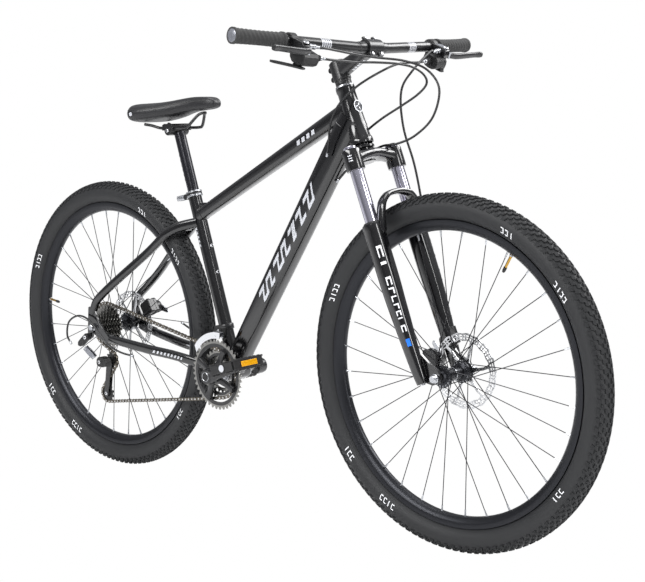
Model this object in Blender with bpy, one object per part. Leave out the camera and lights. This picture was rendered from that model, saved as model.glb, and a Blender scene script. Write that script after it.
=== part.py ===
"""Hardtail mountain bike, built as separate pieces.

Metres, +X forward, +Y to the rider's left, +Z up. The origin is the centre of
the rear axle. Every size that can be set by itself has one named value here,
and what fits to it takes its size and place from that value.
"""
import math

import bmesh
import bpy
from mathutils import Vector

for stale in list(bpy.data.objects):
    bpy.data.objects.remove(stale, do_unlink=True)

# ------------------------------------------------------------------ sizes
GAP = 0.0003                 # clearance between pieces that touch
WHEELBASE = 1.096
TYRE_R = 0.370               # outer radius of the tyre
TYRE_HALF_W = 0.0280
BEAD_R = 0.3110              # rim bead seat, 622 mm
RIM_IN_R = 0.2940            # inner edge of the rim
RIM_HALF_W = 0.0150
WHEEL_SEGS = 36

HEAD_ANGLE = math.radians(69.0)
HEAD_LEN = 0.127
HEAD_R = 0.0230              # at the lower cup
HEAD_TOP_R = 0.0192
HEAD_BORE = 0.0170
AXLE_TO_CROWN = 0.519        # along the steering axis, to the head tube's lower end
FORK_OFFSET = 0.0527         # front axle ahead of the steering axis
STEERER_R = 0.0143

SEAT_TUBE_R = 0.0159
SEATPOST_R = 0.0136
SEAT_TUBE_LEN = 0.430
SEAT_AHEAD = 0.0075          # seat tube axis ahead of the bottom bracket
SEAT_ANGLE = math.radians(72.5)
BB_X, BB_Z = 0.445, -0.072   # bottom bracket from the rear axle
BB_SHELL_R = 0.0205
BB_SHELL_HALF = 0.034
BB_BORE = 0.0176
TOP_TUBE_W, TOP_TUBE_H = 0.0165, 0.0160
DOWN_TUBE_W, DOWN_TUBE_H = 0.0225, 0.0280
STAY_W = 0.0085
STAY_H = 0.0100
REAR_HALF = 0.0675           # half the spacing between the rear dropouts
FRONT_HALF = 0.0500          # half the spacing between the fork dropouts
DROPOUT_T = 0.0065
AXLE_R = 0.0045

STANCHION_Y = 0.066
STANCHION_R = 0.0140
STANCHION_P = 0.020          # stanchions ahead of the steering axis
CROWN_TOP, CROWN_BOT = 0.019, 0.0645
LEG_TOP = 0.180
LEG_R = 0.0215
TRAVEL = 0.060

STEM_LEN = 0.100
STEM_AT = 0.165              # stem centre above the head tube's lower end
BAR_CLAMP_R = 0.0127
BAR_R = 0.0111
BAR_HALF = 0.3617
GRIP_LEN = 0.125
GRIP_R = 0.0150

POST_OUT = 0.162             # seat post above the clamp
CRANK_LEN = 0.170
CRANK_ANGLE = math.radians(18.6)
CHAIN_P = 0.0127
RING_T = 0.0020
OUTER_TEETH, MIDDLE_TEETH, INNER_TEETH = 40, 28, 22
RING_Y, RING_STEP = -0.0475, 0.0080
SPROCKETS = (28, 24, 21, 18, 16, 14, 12, 11)
SPROCKET_Y, SPROCKET_STEP = -0.0290, 0.0048
PULLEY_TEETH = 11
ROTOR_R = 0.080
FRONT_ROTOR_Y = 0.0395
REAR_ROTOR_Y = 0.0520
SPOKES = 32
SADDLE_LEN = 0.262
SADDLE_NOSE = 0.1488         # nose ahead of the seat post's clamp
SADDLE_BASE = 0.0140         # underside above the clamp's centre, at the tail

# -------------------------------------------------------------- reference frames
X, Y, Z = Vector((1, 0, 0)), Vector((0, 1, 0)), Vector((0, 0, 1))
STEER_DN = Vector((math.cos(HEAD_ANGLE), 0, -math.sin(HEAD_ANGLE)))
STEER_FW = Vector((math.sin(HEAD_ANGLE), 0, math.cos(HEAD_ANGLE)))
FRONT_AXLE = Vector((WHEELBASE, 0, 0))
HEAD_BOT = FRONT_AXLE - STEER_DN * AXLE_TO_CROWN - STEER_FW * FORK_OFFSET
BB = Vector((BB_X, 0, BB_Z))
SEAT_UP = Vector((-math.cos(SEAT_ANGLE), 0, math.sin(SEAT_ANGLE)))
SEAT_BASE = BB + X * SEAT_AHEAD
SEAT_TOP = SEAT_BASE + SEAT_UP * SEAT_TUBE_LEN


def steer(s, p=0.0, y=0.0):
    """Point s below the head tube's lower end, p ahead of the steering axis."""
    return HEAD_BOT + STEER_DN * s + STEER_FW * p + Y * y


def pitch_r(teeth):
    return CHAIN_P / (2 * math.sin(math.pi / teeth))


DOWN_BASE = BB + Vector((0.0005, 0, 0.0095))
DOWN_TOP = steer(-0.060)


def polar(r, degrees, y=0.0):
    """Point in the rear wheel's plane, by radius and by angle above the forward direction."""
    a = math.radians(degrees)
    return Vector((r * math.cos(a), y, r * math.sin(a)))


# ------------------------------------------------------------------- makers
def mesh_object(name, verts, faces):
    me = bpy.data.meshes.new(name)
    me.from_pydata([tuple(v) for v in verts], [], faces)
    bm = bmesh.new()
    bm.from_mesh(me)
    bmesh.ops.recalc_face_normals(bm, faces=bm.faces)
    if bm.calc_volume(signed=True) < 0:
        bmesh.ops.reverse_faces(bm, faces=bm.faces)
    bm.to_mesh(me)
    bm.free()
    ob = bpy.data.objects.new(name, me)
    bpy.context.scene.collection.objects.link(ob)
    return ob


def basis(axis, hint=Z):
    a = Vector(axis).normalized()
    if abs(a.dot(hint)) > 0.95:
        hint = X
    u = (hint - a * hint.dot(a)).normalized()
    return a, u, a.cross(u)


def lathe(name, profile, at, axis=Y, segs=20, hint=Z, phase=0.0):
    """Turned solid. profile is (radius, along axis); radius 0 at both ends for a full solid, else a ring."""
    a, u, v = basis(axis, hint)
    verts, rows = [], []
    for r, h in profile:
        if r < 1e-9:
            rows.append([len(verts)])
            verts.append(Vector(at) + a * h)
        else:
            rows.append(list(range(len(verts), len(verts) + segs)))
            for k in range(segs):
                t = 2 * math.pi * k / segs + phase
                verts.append(Vector(at) + a * h + (u * math.cos(t) + v * math.sin(t)) * r)
    ring = len(rows[0]) > 1 and len(rows[-1]) > 1
    faces = []
    pairs = list(zip(rows, rows[1:])) + ([(rows[-1], rows[0])] if ring else [])
    for p, q in pairs:
        for k in range(segs):
            j = (k + 1) % segs
            if len(p) == 1 and len(q) == 1:
                continue
            if len(p) == 1:
                faces.append((p[0], q[j], q[k]))
            elif len(q) == 1:
                faces.append((p[k], p[j], q[0]))
            else:
                faces.append((p[k], p[j], q[j], q[k]))
    return mesh_object(name, verts, faces)


def rod(name, p, q, r, segs=12, r2=None):
    p, q = Vector(p), Vector(q)
    length = (q - p).length
    return lathe(name, [(0, 0), (r, 0), (r if r2 is None else r2, length), (0, length)], p, q - p, segs)


def washer(name, at, axis, r_in, r_out, h0, h1, segs=20, hint=Z):
    return lathe(name, [(r_in, h0), (r_out, h0), (r_out, h1), (r_in, h1)], at, axis, segs, hint)


def prism(name, outline, at, u, v, w, d0, d1):
    """Flat outline (a, b) in the plane of u and v, thick from d0 to d1 along w."""
    n = len(outline)
    verts = [Vector(at) + u * a + v * b + w * d for d in (d0, d1) for a, b in outline]
    faces = [tuple(range(n)), tuple(range(2 * n - 1, n - 1, -1))]
    faces += [(k, (k + 1) % n, n + (k + 1) % n, n + k) for k in range(n)]
    return mesh_object(name, verts, faces)


def plate(name, outline, y0, y1, at=Vector((0, 0, 0))):
    """Outline in X and Z, thick along Y."""
    return prism(name, outline, at, X, Z, Y, y0, y1)


def oval(half_w, half_h, n=12, turn=0.5):
    return [(half_w * math.cos(2 * math.pi * (k + turn) / n), half_h * math.sin(2 * math.pi * (k + turn) / n)) for k in range(n)]


def facet(half_w, half_h, cut):
    """Rectangle with cut corners."""
    return [(half_w, -half_h + cut), (half_w, half_h - cut), (half_w - cut, half_h), (-half_w + cut, half_h),
            (-half_w, half_h - cut), (-half_w, -half_h + cut), (-half_w + cut, -half_h), (half_w - cut, -half_h)]


def sweep(name, points, sections, side=None):
    """Sections carried along points, mitred at each; side fixes the sections' first direction."""
    pts = [Vector(p) for p in points]
    n = len(pts)
    if not isinstance(sections[0], list):
        sections = [sections] * n
    verts = []
    u_prev = None
    for i, p in enumerate(pts):
        d_in = (pts[i] - pts[i - 1]).normalized() if i else (pts[1] - pts[0]).normalized()
        d_out = (pts[i + 1] - pts[i]).normalized() if i < n - 1 else d_in
        t = (d_in + d_out).normalized()
        if side is not None:
            u = (side - t * side.dot(t)).normalized()
        elif u_prev is None:
            u = basis(t)[1]
        else:
            u = (u_prev - t * u_prev.dot(t)).normalized()
        u_prev = u
        v = t.cross(u)
        # widen across the mitre so that the run keeps its size
        bend = d_out - d_in
        if bend.length > 1e-6:
            b = bend.normalized()
            b = (b - t * b.dot(t)).normalized()
            k = 1.0 / max(0.5, t.dot(d_in)) - 1.0
        else:
            b, k = u, 0.0
        for x, y in sections[i]:
            off = u * x + v * y
            verts.append(p + off + b * (off.dot(b) * k))
    m = len(sections[0])
    faces = [tuple(range(m)), tuple(range(n * m - 1, (n - 1) * m - 1, -1))]
    for i in range(n - 1):
        for k in range(m):
            j = (k + 1) % m
            faces.append((i * m + k, i * m + j, (i + 1) * m + j, (i + 1) * m + k))
    return mesh_object(name, verts, faces)


def curve_points(route, count):
    """Smooth curve through the route's points (Catmull-Rom), read at even steps."""
    r = [Vector(p) for p in route]
    r = [r[0] * 2 - r[1]] + r + [r[-1] * 2 - r[-2]]
    fine = []
    for i in range(1, len(r) - 2):
        for k in range(16):
            t = k / 16
            a, b, c, d = r[i - 1], r[i], r[i + 1], r[i + 2]
            fine.append(0.5 * ((2 * b) + (c - a) * t + (2 * a - 5 * b + 4 * c - d) * t * t + (3 * b - a - 3 * c + d) * t ** 3))
    fine.append(r[-2])
    run = [0.0]
    for a, b in zip(fine, fine[1:]):
        run.append(run[-1] + (b - a).length)
    out, j = [], 0
    for k in range(count):
        want = run[-1] * k / (count - 1)
        while j < len(run) - 2 and run[j + 1] < want:
            j += 1
        t = (want - run[j]) / max(1e-9, run[j + 1] - run[j])
        out.append(fine[j].lerp(fine[j + 1], min(1.0, t)))
    return out


def cable(name, route, count, r=0.0025):
    """A housed cable: a bevelled curve of one POLY spline with filled caps."""
    cu = bpy.data.curves.new(name, "CURVE")
    cu.dimensions = "3D"
    cu.resolution_u = 1
    cu.render_resolution_u = 0
    cu.bevel_depth = r
    cu.bevel_resolution = 0
    cu.use_fill_caps = True
    sp = cu.splines.new("POLY")
    pts = curve_points(route, count)
    sp.points.add(len(pts) - 1)
    for p, q in zip(sp.points, pts):
        p.co = (q.x, q.y, q.z, 1)
    ob = bpy.data.objects.new(name, cu)
    bpy.context.scene.collection.objects.link(ob)
    return ob


def combine(name, first, others, mode="UNION"):
    """Exact Boolean of first with each of the others, which are then removed."""
    for k, other in enumerate(others):
        m = first.modifiers.new("b%d" % k, "BOOLEAN")
        m.operation = mode
        m.solver = "EXACT"
        m.use_self = True
        m.object = other
    bpy.context.view_layer.update()
    me = bpy.data.meshes.new_from_object(first.evaluated_get(bpy.context.evaluated_depsgraph_get()))
    first.modifiers.clear()
    first.data = me
    first.name = name
    me.name = name
    for other in others:
        bpy.data.objects.remove(other, do_unlink=True)
    bm = bmesh.new()
    bm.from_mesh(me)
    bmesh.ops.remove_doubles(bm, verts=bm.verts, dist=2e-6)
    bmesh.ops.dissolve_degenerate(bm, edges=bm.edges, dist=2e-6)
    bm.to_mesh(me)
    bm.free()
    return first


def cut(body, cutters):
    return combine(body.name, body, cutters, "DIFFERENCE")


def shift(ob, vec):
    for v in ob.data.vertices:
        v.co += Vector(vec)
    return ob


# ------------------------------------------------------------------- frame
def make_frame():
    head = lathe("frame", [(0, -0.001), (HEAD_R + 0.0025, -0.001), (HEAD_R + 0.0025, 0.010), (HEAD_R, 0.014),
                           (HEAD_TOP_R, HEAD_LEN - 0.012), (HEAD_TOP_R + 0.0015, HEAD_LEN - 0.008), (HEAD_TOP_R + 0.0015, HEAD_LEN), (0, HEAD_LEN)],
                 HEAD_BOT, -STEER_DN, 20)
    top_front = steer(-(HEAD_LEN - 0.045))
    top_back = SEAT_BASE + SEAT_UP * (SEAT_TUBE_LEN - 0.048)
    top = sweep("top_tube", [top_back, top_back.lerp(top_front, 0.5), top_front],
                [facet(TOP_TUBE_W * 0.92, TOP_TUBE_H * 0.92, 0.007), facet(TOP_TUBE_W, TOP_TUBE_H, 0.0075), facet(TOP_TUBE_W * 1.05, TOP_TUBE_H * 1.15, 0.0075)], side=Y)
    down_front = DOWN_TOP
    down = sweep("down_tube", [DOWN_BASE, DOWN_BASE.lerp(down_front, 0.5), down_front],
                 [facet(DOWN_TUBE_W * 0.95, DOWN_TUBE_H * 0.9, 0.010), facet(DOWN_TUBE_W, DOWN_TUBE_H, 0.0105), facet(DOWN_TUBE_W, DOWN_TUBE_H * 1.1, 0.0105)], side=Y)
    seat = rod("seat_tube", SEAT_BASE + SEAT_UP * 0.004, SEAT_TOP, SEAT_TUBE_R, 20)
    shell = lathe("bb_shell", [(0, -BB_SHELL_HALF), (BB_SHELL_R, -BB_SHELL_HALF), (BB_SHELL_R, BB_SHELL_HALF), (0, BB_SHELL_HALF)], BB, Y, 20)
    # gusset where the top tube meets the rising seat tube
    gusset = sweep("gusset", [SEAT_BASE + SEAT_UP * (SEAT_TUBE_LEN - 0.020), top_back.lerp(top_front, 0.10) + Z * 0.004],
                   facet(0.007, 0.006, 0.002), side=Y)
    parts = [top, down, seat, shell, gusset]
    stay_in = REAR_HALF + DROPOUT_T * 0.5 - 0.0012
    for s in (-1, 1):
        parts.append(sweep("seatstay", [SEAT_BASE + SEAT_UP * (SEAT_TUBE_LEN - 0.062) + Y * s * 0.010, polar(TYRE_R + 0.024, 42.6, s * (TYRE_HALF_W - 0.0020)),
                                        polar(TYRE_R - 0.011, 44.2, s * (TYRE_HALF_W + 0.0085)), polar(TYRE_R - 0.040, 44.8, s * (TYRE_HALF_W + 0.0115)),
                                        polar(RIM_IN_R - 0.020, 46.5, s * (TYRE_HALF_W + 0.0155)), polar(0.176, 52.0, s * (REAR_HALF - 0.006)),
                                        Vector((0.046, s * stay_in, 0.094)), Vector((0.010, s * stay_in, 0.066)), Vector((-0.008, s * stay_in, 0.034))],
                           [facet(STAY_W, STAY_H * k, 0.0028) for k in (1.2, 1.2, 1.1, 1.05, 1, 1, 1, 1, 0.9)], side=Y))
        parts.append(sweep("chainstay", [BB + Vector((-0.006, s * 0.021, -0.002)), Vector((BB_X - 0.040, s * 0.0265, BB_Z + 0.006)), Vector((BB_X - 0.080, s * 0.0335, BB_Z + 0.013)), Vector((BB_X - 0.120, s * 0.0410, BB_Z + 0.020)), Vector((BB_X - 0.175, s * 0.0480, BB_Z + 0.027)),
                                         Vector((BB_X - 0.245, s * (REAR_HALF - 0.0130), BB_Z + 0.032)), Vector((0.110, s * (REAR_HALF - 0.003), -0.030)), Vector((0.062, s * stay_in, -0.024))],
                           [facet(STAY_W * 0.85, STAY_H * k, 0.0028) for k in (1.1, 1.1, 1.1, 1.15, 1.15, 1.15, 1.1, 1.0)], side=Y))
        lo, hi = sorted((s * REAR_HALF, s * (REAR_HALF + DROPOUT_T)))
        slot = AXLE_R + GAP
        arc = [(slot * math.cos(t), slot * math.sin(t)) for t in [math.pi * k / 5 for k in range(6)]]
        outline = [(-0.020, 0.050), (-0.024, 0.010), (-0.022, -0.018), (-slot - 0.003, -0.022)] + [(-slot, -0.016)] + [(-a, b) for a, b in arc] + [(slot, -0.016), (slot + 0.004, -0.023)] + \
                  [(0.036, -0.032), (0.074, -0.034), (0.076, -0.014), (0.050, -0.010), (0.022, 0.012), (0.006, 0.040), (0.002, 0.056)]
        if s < 0:
            outline = outline[:2] + [(-0.026, -0.010), (-0.027, -0.026), (-0.019, -0.034), (-0.010, -0.029)] + outline[3:]
        parts.append(plate("dropout", outline, lo, hi))
    parts.append(lathe("bridge", [(0, -TYRE_HALF_W), (0.0080, -TYRE_HALF_W), (0.0080, TYRE_HALF_W), (0, TYRE_HALF_W)], polar(TYRE_R + 0.0130, 43.2), Y, 12))
    parts.append(lathe("cs_bridge", [(0, -0.028), (0.007, -0.028), (0.007, 0.028), (0, 0.028)], Vector((BB_X - 0.050, 0, BB_Z + 0.008)), Y, 10))
    body = combine("frame", head, parts)
    cutters = [rod("c1", steer(0.05), steer(-HEAD_LEN - 0.05), HEAD_BORE, 20),
               rod("c2", SEAT_TOP - SEAT_UP * 0.24, SEAT_TOP + SEAT_UP * 0.05, SEATPOST_R + GAP, 20),
               lathe("c3", [(0, -0.1), (BB_BORE, -0.1), (BB_BORE, 0.1), (0, 0.1)], BB, Y, 20)]
    return cut(body, cutters)


make_frame()
lathe("bottom_bracket", [(0.0105, -BB_SHELL_HALF - 0.0035), (BB_SHELL_R - 0.001, -BB_SHELL_HALF - 0.0035), (BB_SHELL_R - 0.001, -BB_SHELL_HALF - GAP),
                         (BB_BORE - GAP, -BB_SHELL_HALF - GAP), (BB_BORE - GAP, BB_SHELL_HALF + GAP), (BB_SHELL_R - 0.001, BB_SHELL_HALF + GAP),
                         (BB_SHELL_R - 0.001, BB_SHELL_HALF + 0.0035), (0.0105, BB_SHELL_HALF + 0.0035)], BB, Y, 20)

# seat clamp: collar with two ears and a cam lever on the rider's left
collar = washer("seat_clamp_collar", SEAT_TOP, SEAT_UP, SEATPOST_R + GAP, SEAT_TUBE_R + 0.0035, GAP, 0.014, 20)
ear = prism("ears", [(-0.009, -0.0068), (0.007, -0.0068), (0.007, 0.0068), (-0.009, 0.0068)], SEAT_TOP + SEAT_UP * 0.0075 + Vector((-0.024, 0, -0.0075)), X, SEAT_UP, Y, -0.0085, 0.0085)
combine("seat_clamp_collar", collar, [ear])

# ------------------------------------------------------------------- fork
STEER_TOP = STEM_AT + 0.0165
steerer = lathe("fork_crown", [(0, -STEER_TOP), (STEERER_R, -STEER_TOP), (STEERER_R, -0.001), (0.0155, 0.0), (0.0155, 0.006), (HEAD_R + 0.001, 0.0065),
                               (HEAD_R + 0.001, 0.012), (0.019, 0.014), (0.019, 0.042), (0, 0.042)], HEAD_BOT, STEER_DN, 20)
bridge = sweep("crown_bridge", [steer(0.040, STANCHION_P, -STANCHION_Y), steer(0.032, STANCHION_P * 0.9, -0.030), steer(0.028, STANCHION_P * 0.6, 0),
                                steer(0.032, STANCHION_P * 0.9, 0.030), steer(0.040, STANCHION_P, STANCHION_Y)],
               [facet(0.0125, 0.015, 0.004), facet(0.011, 0.020, 0.005), facet(0.0115, 0.026, 0.006), facet(0.011, 0.020, 0.005), facet(0.0125, 0.015, 0.004)],
               side=STEER_DN)
lugs = [rod("lug", steer(CROWN_TOP, STANCHION_P, s * STANCHION_Y), steer(CROWN_BOT, STANCHION_P, s * STANCHION_Y), STANCHION_R + 0.0055, 14) for s in (-1, 1)]
crown = combine("fork_crown", steerer, [bridge] + lugs)
cut(crown, [rod("k", steer(CROWN_TOP + 0.006, STANCHION_P, s * STANCHION_Y), steer(CROWN_BOT + 0.02, STANCHION_P, s * STANCHION_Y), STANCHION_R + GAP, 14) for s in (-1, 1)])
STANCHION_END = 0.315         # foot of a stanchion inside its leg, at full extension
for s, n in ((-1, "right_stanchion"), (1, "left_stanchion")):
    rod(n, steer(CROWN_TOP + 0.0063, STANCHION_P, s * STANCHION_Y), steer(STANCHION_END, STANCHION_P, s * STANCHION_Y), STANCHION_R, 14)
lathe("preload_knob", [(0, 0), (0.0125, 0), (0.0125, 0.006), (0.0105, 0.0085), (0, 0.0085)], steer(CROWN_TOP - GAP, STANCHION_P, STANCHION_Y), -STEER_DN, 14)


def make_lowers():
    legs = []
    end = AXLE_TO_CROWN + 0.002
    for s in (-1, 1):
        legs.append(sweep("leg", [steer(LEG_TOP, STANCHION_P, s * STANCHION_Y), steer(LEG_TOP + 0.012, STANCHION_P, s * STANCHION_Y), steer(0.30, STANCHION_P, s * STANCHION_Y),
                                  steer(STANCHION_END + TRAVEL + 0.012, STANCHION_P, s * (STANCHION_Y - 0.001)), steer(end - 0.045, STANCHION_P, s * (STANCHION_Y - 0.003)), steer(end, STANCHION_P, s * (STANCHION_Y - 0.006))],
                          [oval(LEG_R, LEG_R, 12), oval(LEG_R, LEG_R, 12), oval(LEG_R - 0.001, LEG_R, 12), oval(0.0180, 0.0185, 12), oval(0.0130, 0.0150, 12), oval(0.0105, 0.0125, 12)], side=Y))
    bore = [rod("b", steer(LEG_TOP - 0.02, STANCHION_P, s * STANCHION_Y), steer(STANCHION_END + TRAVEL + 0.002, STANCHION_P, s * STANCHION_Y), STANCHION_R + GAP, 14) for s in (-1, 1)]
    arch = sweep("arch", [steer(0.200, 0.034, -0.062), steer(0.166, 0.044, -0.0585), steer(0.140, 0.050, -0.048), steer(0.127, 0.053, -0.026), steer(0.1245, 0.054, 0),
                          steer(0.127, 0.053, 0.026), steer(0.140, 0.050, 0.048), steer(0.166, 0.044, 0.0585), steer(0.200, 0.034, 0.062)],
                 [facet(0.012, 0.0070, 0.002)] + [facet(0.0105, 0.0058, 0.002)] * 7 + [facet(0.012, 0.0070, 0.002)], side=STEER_FW)
    parts = [legs[1], arch]
    for s in (-1, 1):
        lo, hi = sorted((s * (FRONT_HALF), s * (FRONT_HALF + DROPOUT_T)))
        slot = AXLE_R + GAP
        e = Vector((0, 0, 0))
        pl = []
        arc = [(slot * math.cos(t), slot * math.sin(t)) for t in [math.pi * k / 5 for k in range(6)]]
        back = STANCHION_P - FORK_OFFSET
        outline = [(back, 0.062), (back - 0.006, 0.004), (-0.012, -0.012), (-slot, -0.012)] + [(-a, b) for a, b in arc] + [(slot, -0.012), (0.010, -0.012), (0.013, 0.0), (0.011, 0.014), (-0.006, 0.034), (back + 0.010, 0.062)]
        end = prism("fork_end", outline, FRONT_AXLE, STEER_FW, -STEER_DN, Y, lo, hi)
        parts.append(end)
    # brake mounting lug behind the rider's-left leg
    parts.append(plate("brake_lug", [(-0.040, 0.088), (-0.066, 0.080), (-0.078, 0.056), (-0.074, 0.039), (-0.048, 0.037), (-0.026, 0.055)], STANCHION_Y - 0.010, STANCHION_Y - 0.003, FRONT_AXLE))
    body = combine("fork_lowers", legs[0], parts)
    # the bores go in last, so that the arch can't stand in them; they stop short of the open leg foot
    return cut(body, bore)


make_lowers()

# ------------------------------------------------------------------- axles
lathe("front_axle", [(0, -FRONT_HALF - DROPOUT_T - 0.012), (0.0075, -FRONT_HALF - DROPOUT_T - 0.012), (0.0095, -FRONT_HALF - DROPOUT_T - 0.004), (0.0095, -FRONT_HALF - DROPOUT_T - GAP),
                     (AXLE_R, -FRONT_HALF - DROPOUT_T - GAP), (AXLE_R, -FRONT_HALF + GAP), (0.0085, -FRONT_HALF + GAP), (0.0085, -FRONT_HALF + 0.006), (AXLE_R, -FRONT_HALF + 0.0065),
                     (AXLE_R, FRONT_HALF - 0.0065), (0.0085, FRONT_HALF - 0.006), (0.0085, FRONT_HALF - GAP), (AXLE_R, FRONT_HALF - GAP), (AXLE_R, FRONT_HALF + DROPOUT_T + GAP),
                     (0.0095, FRONT_HALF + DROPOUT_T + GAP), (0.0095, FRONT_HALF + DROPOUT_T + 0.004), (0.0070, FRONT_HALF + DROPOUT_T + 0.007), (0.0070, FRONT_HALF + DROPOUT_T + 0.016), (0, FRONT_HALF + DROPOUT_T + 0.016)], FRONT_AXLE, Y, 10)
lathe("rear_axle", [(0, -REAR_HALF - DROPOUT_T - 0.012), (0.0075, -REAR_HALF - DROPOUT_T - 0.012), (0.0095, -REAR_HALF - DROPOUT_T - 0.004), (0.0095, -REAR_HALF - DROPOUT_T - GAP),
                    (AXLE_R, -REAR_HALF - DROPOUT_T - GAP), (AXLE_R, -REAR_HALF + GAP), (0.0085, -REAR_HALF + GAP), (0.0085, -REAR_HALF + 0.0025), (AXLE_R, -REAR_HALF + 0.003),
                    (AXLE_R, REAR_HALF - 0.0065), (0.0085, REAR_HALF - 0.006), (0.0085, REAR_HALF - GAP), (AXLE_R, REAR_HALF - GAP), (AXLE_R, REAR_HALF + DROPOUT_T + GAP),
                    (0.0095, REAR_HALF + DROPOUT_T + GAP), (0.0095, REAR_HALF + DROPOUT_T + 0.004), (0.0070, REAR_HALF + DROPOUT_T + 0.007), (0.0070, REAR_HALF + DROPOUT_T + 0.016), (0, REAR_HALF + DROPOUT_T + 0.016)], Vector((0, 0, 0)), Y, 10)


def cam_lever(name, at, reach, out=Y, length=0.055):
    """Quick-release lever: an eye beside the cam housing and a curved blade along reach."""
    r = Vector(reach).normalized()
    pts = [at + out * 0.0105, at + out * 0.0115 + r * 0.012, at + out * 0.009 + r * 0.030, at + out * 0.006 + r * length]
    return sweep(name, pts, [facet(0.0055, 0.0030, 0.001), facet(0.0065, 0.0030, 0.001), facet(0.0070, 0.0026, 0.001), facet(0.0060, 0.0022, 0.001)], side=out.cross(r))


CAM_F = FRONT_AXLE + Y * (FRONT_HALF + DROPOUT_T + 0.0110)
CAM_R = Y * (REAR_HALF + DROPOUT_T + 0.0110)
cam_lever("front_axle_lever", CAM_F, Vector((-0.85, 0, -0.53)))
cam_lever("rear_axle_lever", CAM_R, Vector((-0.75, 0, 0.66)))
CAM_S = SEAT_TOP + SEAT_UP * 0.0075 + Vector((-0.0275, 0.0085, -0.0075))
cam_lever("seat_clamp_lever", CAM_S - Y * 0.0065, Vector((-1.0, 0, -0.15)), Y, 0.045)


# ------------------------------------------------------------------- wheels
def wheel(prefix, centre, flanges, flange_r, body_r, ends, rotor_y, freehub=None):
    r0, hw = BEAD_R, TYRE_HALF_W
    mid = 0.5 * (BEAD_R + TYRE_R) - 0.0025
    tyre = [(r0 + 0.0006, -RIM_HALF_W + 0.0042), (r0 + 0.0095, -RIM_HALF_W + 0.0005), (mid, -hw), (TYRE_R - 0.0090, -hw * 0.75), (TYRE_R, -0.0075),
            (TYRE_R, 0.0075), (TYRE_R - 0.0090, hw * 0.75), (mid, hw), (r0 + 0.0095, RIM_HALF_W - 0.0005), (r0 + 0.0006, RIM_HALF_W - 0.0042),
            (TYRE_R - 0.0250, hw * 0.64), (TYRE_R - 0.0180, hw * 0.43), (TYRE_R - 0.0180, -hw * 0.43), (TYRE_R - 0.0250, -hw * 0.64)]
    lathe(prefix + "_tyre", tyre, centre, Y, WHEEL_SEGS)
    rim = [(RIM_IN_R, -0.0040), (r0 - 0.003, -RIM_HALF_W), (r0 + 0.0050, -RIM_HALF_W), (r0 + 0.0050, -RIM_HALF_W + 0.0017), (r0, -RIM_HALF_W + 0.0022), (r0 - 0.005, -0.0060),
           (r0 - 0.005, 0.0060), (r0, RIM_HALF_W - 0.0022), (r0 + 0.0050, RIM_HALF_W - 0.0017), (r0 + 0.0050, RIM_HALF_W), (r0 - 0.003, RIM_HALF_W), (RIM_IN_R, 0.0040)]
    lathe(prefix + "_rim", rim, centre, Y, WHEEL_SEGS)
    bore = 0.0052
    lo, hi = ends
    yl, yr = flanges
    prof = [(bore, lo), (body_r - 0.002, lo), (body_r, yl - 0.004), (flange_r, yl - 0.0028), (flange_r, yl + 0.0028), (body_r, yl + 0.006), (body_r - 0.002, 0.5 * (yl + yr)),
            (body_r, yr - 0.006), (flange_r, yr - 0.0028), (flange_r, yr + 0.0028), (body_r + 0.002, rotor_y - 0.0012), (0.0135, rotor_y - 0.0008), (0.0135, hi), (bore, hi)]
    hub = lathe(prefix + "_hub", prof, centre, Y, 16)
    spokes = []
    hole = flange_r - 0.0035
    per = SPOKES // 2
    reach = RIM_IN_R * math.cos(math.pi / WHEEL_SEGS) - 0.0009
    for side, yf in ((-1, yl), (1, yr)):
        for k in range(per):
            lead = 1 if k % 2 else -1
            a_rim = 2 * math.pi * (k + (0.25 if side > 0 else -0.25)) / per
            a_hub = a_rim - lead * math.radians(66)
            p = Vector((math.cos(a_hub) * hole, yf + lead * 0.0014, math.sin(a_hub) * hole))
            q = Vector((math.cos(a_rim) * reach, side * 0.0018, math.sin(a_rim) * reach))
            spokes.append(rod("spoke", centre + p, centre + q, 0.0012, 3))
    merged = bpy.data.meshes.new("spokes")
    verts, faces = [], []
    for s in spokes:
        base = len(verts)
        verts += [v.co.copy() for v in s.data.vertices]
        faces += [tuple(base + i for i in f.vertices) for f in s.data.polygons]
        bpy.data.objects.remove(s, do_unlink=True)
    group = mesh_object("spokes", verts, faces)
    combine(prefix + "_hub", hub, [group])
    # rotor: braking band on six arms
    ry = rotor_y
    band = washer(prefix + "_rotor", centre, Y, ROTOR_R - 0.0160, ROTOR_R, ry, ry + 0.0018, 26)
    arms = []
    arms.append(washer("c", centre, Y, 0.0139, 0.0232, ry + 0.0001, ry + 0.0017, 14))
    for k in range(6):
        a = math.pi * k / 3 + 0.2
        u = Vector((math.cos(a), 0, math.sin(a)))
        v = Vector((-math.sin(a), 0, math.cos(a)))
        arms.append(prism("a", [(0.0205, -0.006), (0.0205, 0.006), (0.045, 0.0045), (ROTOR_R - 0.0135, 0.007), (ROTOR_R - 0.0135, -0.002), (0.045, -0.0035)], centre, u, v, Y, ry + 0.00005, ry + 0.00175))
    combine(prefix + "_rotor", band, arms)


wheel("front", FRONT_AXLE, (-0.0330, 0.0290), 0.0230, 0.0135, (-FRONT_HALF + 0.0068, FRONT_HALF - 0.0068), FRONT_ROTOR_Y)
wheel("rear", Vector((0, 0, 0)), (-0.0195, 0.0330), 0.0240, 0.0150, (-0.0238, REAR_HALF - 0.0068), REAR_ROTOR_Y)

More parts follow.
